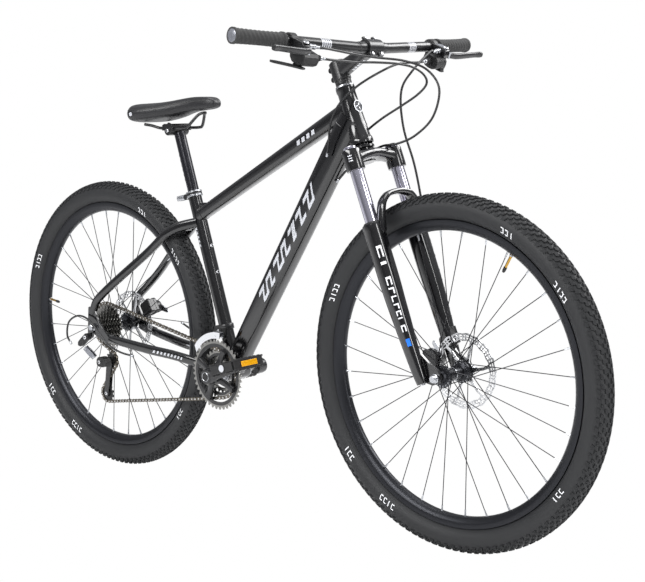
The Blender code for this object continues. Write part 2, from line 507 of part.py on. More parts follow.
# ------------------------------------------------------------------- drivetrain
prof = [(0.0055, SPROCKET_Y + 0.0040)]
y = SPROCKET_Y
prof.append((0.0185, y + 0.0040))
prof.append((0.0185, y + 0.0010))
for k, t in enumerate(SPROCKETS):
    tip = pitch_r(t) + 0.0026
    yc = SPROCKET_Y - SPROCKET_STEP * k
    core = 0.0185 if k < 5 else (0.0175 if k < 7 else 0.0165)
    prof += [(core if k else 0.030, yc + 0.0009)] if k else []
    prof += [(tip, yc + 0.0009), (tip, yc - 0.0009)]
    if k < len(SPROCKETS) - 1:
        prof += [(core, yc - 0.0009)]
prof += [(0.0145, SPROCKET_Y - SPROCKET_STEP * 7 - 0.0009), (0.0145, SPROCKET_Y - SPROCKET_STEP * 7 - 0.0012), (0.0055, SPROCKET_Y - SPROCKET_STEP * 7 - 0.0012)]
lathe("cassette", [(r, h) for r, h in prof], Vector((0, 0, 0)), Y, 14)


def toothed_ring(name, at, teeth, r_in, yc, thick):
    """Chainring or sprocket: a flat ring with a tooth on every chain pitch."""
    tip, root = pitch_r(teeth) + 0.0028, pitch_r(teeth) - 0.0036
    verts, faces = [], []
    for yy in (yc - thick / 2, yc + thick / 2):
        for k in range(teeth):
            a, w = 2 * math.pi * k / teeth, 2 * math.pi / teeth
            for r, t in ((root, a), (tip, a + 0.5 * w), (r_in, a)):
                verts.append(at + Vector((r * math.cos(t), yy, r * math.sin(t))))
    m = 3 * teeth
    for k in range(teeth):
        a, b = 3 * k, 3 * ((k + 1) % teeth)
        faces.append((a, a + 1, b, b + 2, a + 2))
        faces.append((m + a + 2, m + b + 2, m + b, m + a + 1, m + a))
        for p, q in ((a, a + 1), (a + 1, b), (b + 2, a + 2)):
            faces.append((p, m + p, m + q, q))
    return mesh_object(name, verts, faces)


outer_ring = toothed_ring("chainrings", BB, OUTER_TEETH, 0.0660, RING_Y - RING_STEP, RING_T)
middle_ring = toothed_ring("m", BB, MIDDLE_TEETH, 0.0440, RING_Y, RING_T)
inner_ring = toothed_ring("i", BB, INNER_TEETH, 0.0320, RING_Y + RING_STEP, RING_T)
posts = []
for k in range(4):
    a = CRANK_ANGLE + math.pi / 4 + math.pi / 2 * k
    u = Vector((math.cos(a), 0, math.sin(a)))
    w = Vector((-math.sin(a), 0, math.cos(a)))
    posts.append(prism("t", [(0.0445, -0.006), (0.0445, 0.006), (0.0685, 0.008), (0.0685, -0.008)], BB, u, w, Y, RING_Y - RING_STEP - 0.0009, RING_Y - RING_STEP + 0.0009))
    posts.append(rod("r", BB + u * 0.0475 + Y * (RING_Y - RING_STEP - 0.0004), BB + u * 0.0475 + Y * (RING_Y + 0.0005), 0.0036, 8))
    posts.append(rod("r", BB + u * 0.0360 + Y * (RING_Y + RING_STEP + 0.0005), BB + u * 0.0360 + Y * (RING_Y - 0.0015), 0.0032, 8))
    posts.append(prism("t", [(0.0345, -0.004), (0.0345, 0.004), (0.0465, 0.005), (0.0465, -0.005)], BB, u, w, Y, RING_Y - 0.0009, RING_Y + 0.0009))
combine("chainrings", outer_ring, [middle_ring, inner_ring] + posts)

CR = Vector((math.cos(CRANK_ANGLE), 0, math.sin(CRANK_ANGLE)))
CS = Vector((-math.sin(CRANK_ANGLE), 0, math.cos(CRANK_ANGLE)))


def arm_outline(r0, r1):
    out = []
    for k in range(7):
        t = math.pi / 2 + math.pi * k / 6
        out.append((r0 * math.cos(t), r0 * math.sin(t)))
    for k in range(5):
        t = -math.pi / 2 + math.pi * k / 4
        out.append((CRANK_LEN + r1 * math.cos(t), r1 * math.sin(t)))
    return out


PEDAL_Y = 0.0945
spindle = lathe("right_crank", [(0, -0.0900), (0.0080, -0.0900), (0.0080, 0.0600), (0.0070, 0.0600), (0.0070, 0.0780), (0, 0.0780)], BB, Y, 14)
arm = prism("arm", arm_outline(0.0190, 0.0135), BB, CR, CS, Y, -0.0925, -0.0800)
boss = lathe("boss", [(0, -0.0935), (0.0170, -0.0935), (0.0190, -0.0660), (0, -0.0660)], BB, Y, 16)
spider = []
for k in range(4):
    a = CRANK_ANGLE + math.pi / 4 + math.pi / 2 * k
    u = Vector((math.cos(a), 0, math.sin(a)))
    w = Vector((-math.sin(a), 0, math.cos(a)))
    spider.append(prism("s", [(0.004, -0.0095), (0.004, 0.0095), (0.040, 0.0065), (0.0640, 0.0085), (0.0680, 0), (0.0640, -0.0085), (0.040, -0.0065)], BB, u, w, Y, -0.0700, RING_Y - RING_STEP - RING_T / 2 - GAP))
axle_r = rod("pa", BB + CR * CRANK_LEN + Y * -0.0860, BB + CR * CRANK_LEN + Y * -(PEDAL_Y + 0.088), 0.0050, 10)
combine("right_crank", spindle, [arm, boss] + spider + [axle_r])
larm = prism("left_crank", [(-a, b) for a, b in arm_outline(0.0190, 0.0135)], BB, CR, CS, Y, 0.0800, 0.0925)
lboss = washer("lb", BB, Y, 0.0073, 0.0180, 0.0620, 0.0930, 16)
axle_l = rod("pa", BB - CR * CRANK_LEN + Y * 0.0860, BB - CR * CRANK_LEN + Y * (PEDAL_Y + 0.088), 0.0050, 10)
combine("left_crank", larm, [lboss, axle_l])
cut(bpy.data.objects["left_crank"], [lathe("h", [(0, 0.05), (0.0073, 0.05), (0.0073, 0.0785), (0, 0.0785)], BB, Y, 14)])

PEDAL_TILT = math.radians(16)


def pedal(name, centre, s):
    """Platform pedal: a cage around a hollow core that turns on its axle; s is its side."""
    u = Vector((math.cos(PEDAL_TILT), 0, math.sin(PEDAL_TILT)))
    v = Vector((-math.sin(PEDAL_TILT), 0, math.cos(PEDAL_TILT)))
    y0, y1 = sorted((s * PEDAL_Y, s * (PEDAL_Y + 0.094)))
    outline = [(-0.041, -0.008), (-0.036, -0.0125), (0.036, -0.0125), (0.041, -0.008), (0.041, 0.008), (0.036, 0.0125), (-0.036, 0.0125), (-0.041, 0.008)]
    body = prism(name, outline, centre, u, v, Y, y0, y1)
    ym = 0.5 * (y0 + y1)
    holes = []
    for d in (-1, 1):
        a0, a1 = sorted((d * 0.0125, d * 0.0345))
        for b0, b1 in ((y0 + 0.009, ym - 0.004), (ym + 0.004, y1 - 0.009)):
            holes.append(prism("w", [(a0, b0), (a1, b0), (a1, b1), (a0, b1)], centre, u, Y, v, -0.03, 0.03))
    holes.append(rod("w", centre + Y * s * (PEDAL_Y - 0.01), centre + Y * s * (PEDAL_Y + 0.0895), 0.0050 + GAP, 10))
    return cut(body, holes)


pedal("right_pedal", BB + CR * CRANK_LEN, -1)
pedal("left_pedal", BB - CR * CRANK_LEN, 1)

# chain: one closed band with an open inner side for the teeth
GUIDE = Vector((0.010, 0, -0.0915))
TENSION = Vector((-0.010, 0, -0.1810))
P_R = pitch_r(PULLEY_TEETH)
CHAIN_H, CHAIN_SIDE, CHAIN_SLOT, CHAIN_WEB = 0.0042, 0.0035, 0.0015, 0.0008
CHAIN_HOLD_RING, CHAIN_HOLD_SPROCKET = 0.095, 0.030   # straight lengths before the chain starts to cross over


def chain_route():
    """Points (x, z, y) around the loop: upper run, ring, lower run, pulleys, sprocket. Clockwise wheels turn right."""
    wheels = [((0, 0), pitch_r(SPROCKETS[0]), 1, SPROCKET_Y, 10), ((BB_X, BB_Z), pitch_r(MIDDLE_TEETH), 1, RING_Y, 11),
              ((TENSION.x, TENSION.z), P_R, 1, SPROCKET_Y, 8), ((GUIDE.x, GUIDE.z), P_R + 0.0004, -1, SPROCKET_Y, 6)]
    n = len(wheels)
    tangents = []
    for i in range(n):
        (c1, r1, s1, y1, _), (c2, r2, s2, y2, _) = wheels[i], wheels[(i + 1) % n]
        dx, dz = c2[0] - c1[0], c2[1] - c1[1]
        dist = math.hypot(dx, dz)
        base = math.atan2(dz, dx)
        # travel direction a such that both wheels lie on their own side of the run
        a = base + math.asin((s2 * r2 - s1 * r1) / dist) * 1.0
        nx, nz = -math.sin(a), math.cos(a)
        tangents.append(((c1[0] + nx * s1 * r1, c1[1] + nz * s1 * r1), (c2[0] + nx * s2 * r2, c2[1] + nz * s2 * r2), a))
    pts = []
    for i in range(n):
        (c, r, s, y, steps) = wheels[i]
        came, goes = tangents[i - 1][2], tangents[i][2]
        turn = (goes - came) % (2 * math.pi)
        if s > 0:
            turn -= 2 * math.pi
        for k in range(steps + 1):
            a = came + turn * k / steps
            pts.append(Vector((c[0] - math.sin(a) * s * r, y, c[1] + math.cos(a) * s * r)))
        end, start = tangents[i][0], tangents[i][1]
        y2 = wheels[(i + 1) % n][3]
        if (Vector(start) - Vector(end)).length > 0.1:
            run = math.hypot(start[0] - end[0], start[1] - end[1])
            hold = [CHAIN_HOLD_RING if abs(v - RING_Y) < 1e-9 else CHAIN_HOLD_SPROCKET for v in (y, y2)]
            for t, w in ((hold[0] / run, 0.0), (0.5, 0.5), (1 - hold[1] / run, 1.0)):
                pts.append(Vector((end[0] + (start[0] - end[0]) * t, y + (y2 - y) * w, end[1] + (start[1] - end[1]) * t)))
    return pts


def make_chain():
    pts = chain_route()
    n = len(pts)
    h, w, g, web = CHAIN_H, CHAIN_SIDE, CHAIN_SLOT, CHAIN_WEB
    section = [(-w, h), (w, h), (w, -h), (g, -h), (g, h - web), (-g, h - web), (-g, -h), (-w, -h)]
    verts, faces = [], []
    for i in range(n):
        a, b = (pts[i] - pts[i - 1]).normalized(), (pts[(i + 1) % n] - pts[i]).normalized()
        t = (a + b).normalized()
        t.y = 0
        t.normalize()
        out = Vector((-t.z, 0, t.x))
        k = 1.0 / max(0.7, math.sqrt(max(0.0, (1 + a.dot(b)) / 2)))
        for sx, so in section:
            verts.append(pts[i] + Y * sx + out * (so * k))
    m = len(section)
    for i in range(n):
        j = (i + 1) % n
        for k in range(m):
            l = (k + 1) % m
            faces.append((i * m + k, i * m + l, j * m + l, j * m + k))
    return mesh_object("chain", verts, faces)


make_chain()

# guide and tension pulleys; the guide's rim stops short of the chain's closed side
lathe("guide_pulley", [(0.0030, -0.0012), (P_R - CHAIN_H - 0.0006, -0.0012), (P_R - CHAIN_H - 0.0006, 0.0012), (0.0030, 0.0012)], GUIDE + Y * SPROCKET_Y, Y, 22)
lathe("tension_pulley", [(0.0030, -0.0011), (P_R + 0.0018, -0.0011), (P_R + 0.0018, 0.0011), (0.0030, 0.0011)], TENSION + Y * SPROCKET_Y, Y, 22)

# rear derailleur: knuckle on the hanger, link, body and pulley cage
KN_AT = Vector((-0.018, 0, -0.0265))
HANG_Y = -(REAR_HALF + DROPOUT_T)
knuckle = lathe("rear_derailleur_knuckle", [(0, 0), (0.0085, 0), (0.0085, 0.014), (0.0060, 0.0150), (0, 0.0150)], KN_AT + Y * (HANG_Y - GAP), -Y, 12)
k2 = prism("k2", [(-0.006, -0.008), (-0.006, 0.008), (0.034, 0.007), (0.040, 0.000), (0.034, -0.008)], KN_AT + Y * (HANG_Y - 0.004), Vector((-0.80, 0, -0.60)), Vector((-0.60, 0, 0.80)), Y, -0.0115, 0.0)
combine("rear_derailleur_knuckle", knuckle, [k2])
L_TOP = KN_AT + Vector((-0.80, 0, -0.60)) * 0.030 + Y * (HANG_Y - 0.010)
L_BOT = Vector((0.002, -0.0600, -0.0960))
LINK_AX = Vector((0.62, 0, 0.785)).normalized()
ld = (L_BOT - L_TOP)
prism("rear_derailleur_link", [(0.0150, -0.0085), (0.0150, 0.0085), (ld.length - 0.0195, 0.0085), (ld.length - 0.0195, -0.0085)], L_TOP, ld.normalized(), basis(ld, LINK_AX)[1], basis(ld, LINK_AX)[2], -0.0055, 0.0055)
body = prism("rear_derailleur_body", [(-0.014, -0.004), (-0.010, 0.010), (0.006, 0.013), (0.022, 0.008), (0.025, -0.004), (0.014, -0.013), (-0.006, -0.013)], Vector((GUIDE.x - 0.002, 0, GUIDE.z)), X, Z, Y, -0.0660, -0.0460)
CAGE_DIR = (TENSION - GUIDE).normalized()
CAGE_UP = Vector((CAGE_DIR.z, 0, -CAGE_DIR.x))
c_len = (TENSION - GUIDE).length
CAGE_L = [(-0.011, -0.008), (-0.011, 0.008), (0.010, 0.013), (c_len - 0.012, 0.010), (c_len + 0.008, 0.0085), (c_len + 0.0115, 0.0), (c_len + 0.008, -0.0085), (c_len - 0.012, -0.008), (0.010, -0.010)]
outer_plate = prism("rear_derailleur_cage", CAGE_L, GUIDE, CAGE_DIR, CAGE_UP, Y, SPROCKET_Y - 0.0062, SPROCKET_Y - 0.0044)
inner_plate = prism("ip", [(a, b * 0.8) for a, b in CAGE_L], GUIDE, CAGE_DIR, CAGE_UP, Y, SPROCKET_Y + 0.0044, SPROCKET_Y + 0.0058)
pins = [rod("pin", c + Y * (SPROCKET_Y - 0.0050), c + Y * (SPROCKET_Y + 0.0050), 0.0026, 8) for c in (GUIDE, TENSION)]
hub_pin = lathe("hp", [(0, 0), (0.0085, 0), (0.0085, 0.0100), (0, 0.0100)], GUIDE + Y * (SPROCKET_Y - 0.0058), -Y, 12)
combine("rear_derailleur_cage", outer_plate, [inner_plate] + pins + [hub_pin])

# front derailleur: band on the seat tube, linkage block and cage over the rings
FD_AT = SEAT_BASE + SEAT_UP * 0.108
band = washer("front_derailleur", FD_AT, SEAT_UP, SEAT_TUBE_R + GAP, SEAT_TUBE_R + 0.0032, -0.0065, 0.0065, 20)
fd_block = prism("fb", [(-0.012, -0.022), (0.014, -0.020), (0.014, 0.006), (-0.010, 0.008)], FD_AT + Vector((0.004, 0, 0)), X, Z, Y, -0.0330, -0.0178)
fd_neck = prism("fn", [(-0.006, -0.006), (0.006, -0.006), (0.006, 0.006), (-0.006, 0.006)], FD_AT + Vector((0.002, 0, -0.002)), X, Z, Y, -0.0185, -0.0172)
combine("front_derailleur", band, [fd_block, fd_neck])


def fd_cage():
    r0, r1 = pitch_r(OUTER_TEETH) + 0.004, pitch_r(OUTER_TEETH) + 0.019
    outline = []
    for k in range(7):
        a = math.radians(84 + 58 * k / 6)
        outline.append((r1 * math.cos(a), r1 * math.sin(a)))
    for k in range(7):
        a = math.radians(148 - 64 * k / 6)
        rr = r0 - (0.012 if k < 2 else 0)
        outline.append((r0 * math.cos(a), r0 * math.sin(a)))
    a_pl = plate("front_derailleur_cage", outline, RING_Y - 0.0068, RING_Y - 0.0055, BB)
    b_pl = plate("b", outline, RING_Y + 0.0055, RING_Y + 0.0068, BB)
    top_a, top_b = math.radians(88), math.radians(112)
    strip = []
    for k in range(5):
        a = top_a + (top_b - top_a) * k / 4
        strip.append(((r1 - 0.0005) * math.cos(a), (r1 - 0.0005) * math.sin(a)))
    for k in range(5):
        a = top_b - (top_b - top_a) * k / 4
        strip.append(((r1 - 0.0018) * math.cos(a), (r1 - 0.0018) * math.sin(a)))
    c_pl = plate("c", strip, RING_Y - 0.0060, RING_Y + 0.0060, BB)
    return combine("front_derailleur_cage", a_pl, [b_pl, c_pl])


fd_cage()

# ------------------------------------------------------------------- brakes
def caliper(name, mid, rotor_y, out_dir, tang):
    """Mechanical disc caliper astride the rotor: two halves joined outside the rotor's edge."""
    u = Vector(out_dir).normalized()
    v = Vector(tang).normalized()
    gap = 0.0028
    inner = prism(name, [(-0.022, -0.018), (-0.022, 0.018), (0.016, 0.020), (0.016, -0.020)], mid, u, v, Y, rotor_y - 0.0120, rotor_y - gap)
    outer = prism("o", [(-0.022, -0.018), (-0.022, 0.018), (0.016, 0.020), (0.016, -0.020)], mid, u, v, Y, rotor_y + 0.0018 + gap, rotor_y + 0.0150)
    roof = prism("r", [(-0.0030, -0.0175), (-0.0030, 0.0175), (0.0155, 0.0190), (0.0155, -0.0190)], mid, u, v, Y, rotor_y - 0.0110, rotor_y + 0.0140)
    drum = lathe("d", [(0, rotor_y + 0.0145), (0.0165, rotor_y + 0.0145), (0.0165, rotor_y + 0.0300), (0, rotor_y + 0.0300)], Vector((mid.x, 0, mid.z)) - u * 0.003, Y, 16)
    return combine(name, inner, [outer, roof, drum])


F_OUT = Vector((-0.985, 0, 0.1726))
F_MID = FRONT_AXLE + F_OUT * (ROTOR_R + 0.008)
caliper("front_brake_caliper", F_MID, FRONT_ROTOR_Y, F_OUT, Vector((0.1726, 0, 0.985)))
R_OUT = Vector((0.866, 0, 0.500))
R_MID = R_OUT * (ROTOR_R + 0.006)
caliper("rear_brake_caliper", R_MID, REAR_ROTOR_Y, R_OUT, Vector((-0.500, 0, 0.866)))
F_DRUM = F_MID - F_OUT * 0.003
R_DRUM = R_MID - R_OUT * 0.003


def brake_arm(name, pivot, y0, reach, length=0.036):
    u = Vector(reach).normalized()
    v = Vector((-u.z, 0, u.x))
    return prism(name, [(-0.009, -0.005), (-0.005, -0.009), (0.008, -0.008), (length, -0.005), (length + 0.004, 0), (length, 0.005), (0.008, 0.008), (-0.005, 0.009), (-0.009, 0.005)], Vector((pivot.x, 0, pivot.z)), u, v, Y, y0, y0 + 0.0035)


brake_arm("front_brake_arm", F_DRUM, FRONT_ROTOR_Y + 0.0300 + GAP, Vector((-0.55, 0, 0.835)))
brake_arm("rear_brake_arm", R_DRUM, REAR_ROTOR_Y + 0.0300 + GAP, Vector((0.90, 0, -0.25)))

# ------------------------------------------------------------------- cockpit
STEM_C = steer(-STEM_AT)
STEM_TURN = math.radians(6.0)
STEM_DIR = (STEER_FW * math.cos(STEM_TURN) - STEER_DN * math.sin(STEM_TURN)).normalized()
STEM_UP = Vector((-STEM_DIR.z, 0, STEM_DIR.x))
BAR_C = STEM_C + STEM_DIR * STEM_LEN
sp_top = STEM_AT - 0.0205
spacer = lathe("spacer", [(0, HEAD_LEN + GAP), (HEAD_TOP_R + 0.001, HEAD_LEN + GAP), (HEAD_TOP_R + 0.001, HEAD_LEN + 0.0045), (0.0172, HEAD_LEN + 0.0050), (0.0172, sp_top + 0.004), (0, sp_top + 0.004)], HEAD_BOT, -STEER_DN, 20)
clampb = lathe("stem", [(0, STEM_AT - 0.0205), (STEERER_R + 0.0050, STEM_AT - 0.0205), (STEERER_R + 0.0050, STEM_AT + 0.0200), (0, STEM_AT + 0.0200)], HEAD_BOT, -STEER_DN, 20)
neck = sweep("neck", [STEM_C + STEM_DIR * 0.010, STEM_C + STEM_DIR * 0.050, BAR_C - STEM_DIR * 0.010],
             [facet(0.0160, 0.0175, 0.005), facet(0.0145, 0.0140, 0.005), facet(0.0200, 0.0140, 0.004)], side=Y)
jaw = lathe("jaw", [(0, -0.0220), (BAR_CLAMP_R + 0.0050, -0.0220), (BAR_CLAMP_R + 0.0050, 0.0220), (0, 0.0220)], BAR_C, Y, 20)
stem_body = combine("stem", clampb, [spacer, neck, jaw])
cut(stem_body, [rod("c", steer(0.0), steer(-STEER_TOP - GAP), STEERER_R + GAP, 20),
                lathe("c", [(0, -0.05), (BAR_CLAMP_R + GAP, -0.05), (BAR_CLAMP_R + GAP, 0.05), (0, 0.05)], BAR_C, Y, 20),
                prism("c", [(0.0004, -0.04), (0.0004, 0.04), (0.05, 0.04), (0.05, -0.04)], BAR_C, STEM_DIR, STEM_UP, Y, -0.05, 0.05)])
face_j = lathe("stem_faceplate", [(0, -0.0220), (BAR_CLAMP_R + 0.0050, -0.0220), (BAR_CLAMP_R + 0.0050, 0.0220), (0, 0.0220)], BAR_C, Y, 20)
tabs = [prism("tab", [(0.0015, s * (BAR_CLAMP_R + 0.0025)), (0.0015, s * (BAR_CLAMP_R + 0.0105)), (0.0080, s * (BAR_CLAMP_R + 0.0095)), (0.0080, s * (BAR_CLAMP_R - 0.0010))], BAR_C, STEM_DIR, STEM_UP, Y, -0.0215, 0.0215) for s in (-1, 1)]
combine("stem_faceplate", face_j, tabs)
cut(bpy.data.objects["stem_faceplate"], [lathe("c", [(0, -0.05), (BAR_CLAMP_R + GAP, -0.05), (BAR_CLAMP_R + GAP, 0.05), (0, 0.05)], BAR_C, Y, 20),
                                         prism("c", [(-0.05, -0.04), (-0.05, 0.04), (0.0010, 0.04), (0.0010, -0.04)], BAR_C, STEM_DIR, STEM_UP, Y, -0.05, 0.05)])

BAR_END = BAR_C + Vector((-0.0318, BAR_HALF, 0.0159))
BAR_IN = BAR_C + Vector((-0.0015, 0.052, 0.0005))
half = [BAR_C.copy(), BAR_C + Y * 0.030, BAR_IN, BAR_END]
bar_pts = [Vector((p.x, -p.y, p.z)) for p in reversed(half[1:])] + half
bar_r = [BAR_R, BAR_R, BAR_CLAMP_R, BAR_CLAMP_R, BAR_CLAMP_R, BAR_R, BAR_R]
sweep("handlebar", bar_pts, [oval(r, r, 16) for r in bar_r], side=X)


def on_bar(t, s):
    """Point on the straight outer run of the bar, t metres in from its end, on side s."""
    d = (BAR_END - BAR_IN).normalized()
    p = BAR_END - d * t
    return Vector((p.x, s * p.y, p.z)), Vector((d.x, s * d.y, d.z))


for s, n in ((-1, "right_grip"), (1, "left_grip")):
    p, d = on_bar(-0.0035, s)
    g = GRIP_R
    lathe(n, [(0, 0), (g + 0.001, 0), (g + 0.001, -0.006), (g - 0.0005, -0.010), (g, -0.060), (g - 0.0010, -GRIP_LEN + 0.016), (g + 0.0015, -GRIP_LEN + 0.006), (g + 0.0015, -GRIP_LEN),
              (BAR_R + GAP, -GRIP_LEN), (BAR_R + GAP, -0.0035 + GAP), (0, -0.0035 + GAP)], p, d, 16)


def pod(name, s):
    """Clamp around the bar, shifter housing below and brake lever bracket ahead of it."""
    p, d = on_bar(GRIP_LEN + 0.008, s)
    din = -d
    ring = lathe(name, [(0, 0), (0.0165, 0), (0.0165, 0.016), (0, 0.016)], p, din, 16)
    c = p + din * 0.008
    fw = Vector((0.920, 0, -0.392))
    dn = Vector((-0.392, 0, -0.920))
    neck_p = prism("n", [(0.004, -0.011), (0.040, -0.012), (0.0495, -0.006), (0.0495, 0.006), (0.044, 0.014), (0.010, 0.014), (0.004, 0.010)], c, fw, dn, din, -0.0095, 0.0095)
    house = prism("h", [(0.012, 0.008), (0.046, 0.008), (0.053, 0.016), (0.053, 0.030), (0.042, 0.0365), (0.020, 0.0340), (0.010, 0.020)], c, fw, dn, din, -0.0040, 0.0340)
    barrel_a = rod("ba", c + fw * 0.034 - dn * 0.003 + din * 0.0085, c + fw * 0.037 - dn * 0.003 + din * 0.0360, 0.0048, 8)
    barrel_b = rod("bb", c + fw * 0.030 + dn * 0.020 + din * 0.0330, c + fw * 0.034 + dn * 0.020 + din * 0.0600, 0.0058, 8)
    ob = combine(name, ring, [neck_p, house, barrel_a, barrel_b])
    a, b = on_bar(GRIP_LEN - 0.03, s)
    e, _ = on_bar(GRIP_LEN + 0.06, s)
    cut(ob, [rod("c", a, e, BAR_R + GAP, 16)])
    return c, din, fw, dn


POD = {}
BRAKE_PIVOT = {}
SHIFT_PIVOT = {}
for s, n in ((-1, "right"), (1, "left")):
    POD[s] = pod(n + "_control_pod", s)
    c, din, fw, dn = POD[s]
    piv = c + fw * 0.0561
    BRAKE_PIVOT[s] = piv
    out = -din
    blade = [piv, piv + out * 0.024 + fw * 0.006, piv + out * 0.055 + fw * 0.010 - dn * 0.002, piv + out * 0.085 + fw * 0.0125 - dn * 0.004, piv + out * 0.107 + fw * 0.018 - dn * 0.006]
    sweep(n + "_brake_lever", blade, [facet(0.0045, 0.0058, 0.0012), facet(0.0045, 0.0068, 0.0014), facet(0.0040, 0.0065, 0.0014), facet(0.0038, 0.0062, 0.0014), facet(0.0048, 0.0065, 0.0016)], side=fw)
    hub = c + fw * 0.042
    SHIFT_PIVOT[s] = hub
    prism(n + "_shift_lever", [(0.008, -0.008), (0.010, 0.004), (-0.004, 0.024), (-0.018, 0.050), (-0.024, 0.054), (-0.030, 0.050), (-0.022, 0.026), (-0.010, 0.004), (-0.008, -0.006)], hub, fw, out, dn, 0.0368, 0.0405)

# ------------------------------------------------------------------- seat
POST_TOP = SEAT_TOP + SEAT_UP * POST_OUT
post = rod("seatpost", SEAT_TOP - SEAT_UP * 0.160, POST_TOP, SEATPOST_R, 20)
HEAD_C = POST_TOP + SEAT_UP * 0.0100 + Vector((-0.007, 0, 0.001))
RAIL_Z = HEAD_C.z + 0.001
RAIL_Y = 0.0220
RAIL_R = 0.0036
cradle = lathe("cr", [(0, -0.0300), (0.0120, -0.0300), (0.0120, 0.0300), (0, 0.0300)], HEAD_C - Z * 0.005, Y, 12)
jaws = prism("saddle_clamp", [(-0.019, -0.0050), (0.019, -0.0050), (0.019, 0.0080), (0.012, 0.0110), (-0.012, 0.0110), (-0.019, 0.0080)], HEAD_C, X, Z, Y, -0.0300, 0.0300)
seatpost = combine("seatpost", post, [cradle, jaws])
cut(seatpost, [rod("c", Vector((HEAD_C.x - 0.05, s * RAIL_Y, RAIL_Z)), Vector((HEAD_C.x + 0.05, s * RAIL_Y, RAIL_Z)), RAIL_R + GAP, 10) for s in (-1, 1)])

NOSE_X = HEAD_C.x + SADDLE_NOSE
SAD_Z = HEAD_C.z + SADDLE_BASE
middle = Vector((NOSE_X - 0.045, 0, SAD_Z + 0.0215))
right_rail = [Vector((NOSE_X - 0.058, -0.010, SAD_Z + 0.0165)), Vector((NOSE_X - 0.080, -RAIL_Y, RAIL_Z + 0.005)), Vector((NOSE_X - 0.095, -RAIL_Y, RAIL_Z)),
              Vector((HEAD_C.x - 0.034, -RAIL_Y, RAIL_Z)), Vector((HEAD_C.x - 0.056, -RAIL_Y - 0.008, RAIL_Z + 0.006)), Vector((HEAD_C.x - 0.074, -RAIL_Y - 0.016, SAD_Z - 0.0035))]
rail_pts = list(reversed(right_rail)) + [middle] + [Vector((p.x, -p.y, p.z)) for p in right_rail]
sweep("saddle_rails", rail_pts, oval(RAIL_R, RAIL_R, 8))

# distance back from the nose as a share of the length, half width, underside and top above the tail's underside
stations = [(0.000, 0.012, 0.034, 0.047), (0.075, 0.019, 0.031, 0.058), (0.300, 0.024, 0.026, 0.0585), (0.520, 0.042, 0.015, 0.051),
            (0.710, 0.064, 0.008, 0.047), (0.880, 0.074, 0.003, 0.046), (0.960, 0.068, 0.003, 0.044), (1.000, 0.050, 0.007, 0.038)]
verts, faces = [], []
for d, hw, low, high in stations:
    x, base, top = NOSE_X - d * SADDLE_LEN, SAD_Z + low, SAD_Z + high
    for a, b in ((0.55, 0.0), (0.92, 0.25), (1.0, 0.55), (0.80, 0.90), (0.35, 1.0), (-0.35, 1.0), (-0.80, 0.90), (-1.0, 0.55), (-0.92, 0.25), (-0.55, 0.0)):
        verts.append(Vector((x, hw * a, base + (top - base) * b)))
m, n = 10, len(stations)
faces = [tuple(range(m)), tuple(range(n * m - 1, (n - 1) * m - 1, -1))]
for i in range(n - 1):
    for k in range(m):
        j = (k + 1) % m
        faces.append((i * m + k, i * m + j, (i + 1) * m + j, (i + 1) * m + k))
mesh_object("saddle", verts, faces)

# ------------------------------------------------------------------- cables
def barrel(s, which):
    c, din, fw, dn = POD[s]
    if which == "brake":
        return c + fw * 0.0371 - dn * 0.003 + din * 0.0367, (fw * 0.003 + din * 0.0275).normalized()
    return c + fw * 0.0341 + dn * 0.020 + din * 0.0607, (fw * 0.004 + din * 0.027).normalized()


def route_from(s, which, rest):
    p, d = barrel(s, which)
    return [p, p + d * 0.022] + rest


V = lambda x, y, z: Vector((x, y, z))


def under_down(t, y):
    """Point just clear of the down tube's underside, t metres up its axis from the bottom bracket."""
    d = (DOWN_TOP - DOWN_BASE).normalized()
    return DOWN_BASE + d * t + Vector((d.z, 0, -d.x)) * (DOWN_TUBE_H * 1.10 + 0.0016) + Y * y


cable("front_brake_cable", route_from(1, "brake", [V(0.922, 0.096, 0.618), V(0.902, 0.082, 0.575), V(0.909, 0.079, 0.500), V(0.934, 0.084, 0.420), V(0.950, 0.090, 0.330), V(0.963, 0.0955, 0.220), V(0.983, 0.094, 0.130)]), 30)
cable("rear_brake_cable", route_from(-1, "brake", [V(0.903, -0.075, 0.651), V(0.912, -0.010, 0.644), V(0.9355, 0.055, 0.637), V(0.968, 0.088, 0.618), V(0.998, 0.090, 0.578), V(0.990, 0.078, 0.520), V(0.955, 0.062, 0.482), V(0.915, 0.050, 0.465), V(0.880, 0.0445, 0.4605), V(0.848, 0.036, 0.445), V(0.824, 0.022, 0.425), V(0.813, 0.008, 0.4130), under_down(0.560, 0.0)]), 36)
cable("rear_shift_cable", route_from(-1, "shift", [V(0.906, -0.060, 0.634), V(0.920, -0.020, 0.6335), V(0.9345, 0.030, 0.631), V(0.942, 0.075, 0.6235), V(0.9525, 0.098, 0.607), V(0.955, 0.101, 0.588), V(0.9379, 0.090, 0.566), V(0.904, 0.071, 0.541), V(0.872, 0.052, 0.518), V(0.838, 0.038, 0.490), V(0.808, 0.034, 0.458)]), 32)
cable("front_shift_cable", route_from(1, "shift", [V(0.915, 0.060, 0.632), V(0.915, 0.000, 0.615), V(0.885, -0.042, 0.585), V(0.845, -0.052, 0.550), V(0.815, -0.047, 0.512), V(0.798, -0.036, 0.470), V(0.788, -0.032, 0.440)]), 28)
cable("rear_shift_casing", [V(0.150, -0.0680, -0.060), V(0.110, -0.0790, -0.052), V(0.070, -0.084, -0.036), V(0.030, -0.085, -0.006), V(-0.010, -0.086, 0.022), V(-0.050, -0.087, 0.026), V(-0.088, -0.087, 0.006), V(-0.100, -0.085, -0.030), V(-0.086, -0.083, -0.052)], 24)
cable("rear_brake_casing", [V(0.320, 0.0660, -0.040), V(0.270, 0.0740, -0.022), V(0.210, 0.080, -0.010), V(0.160, 0.084, 0.006)], 10)


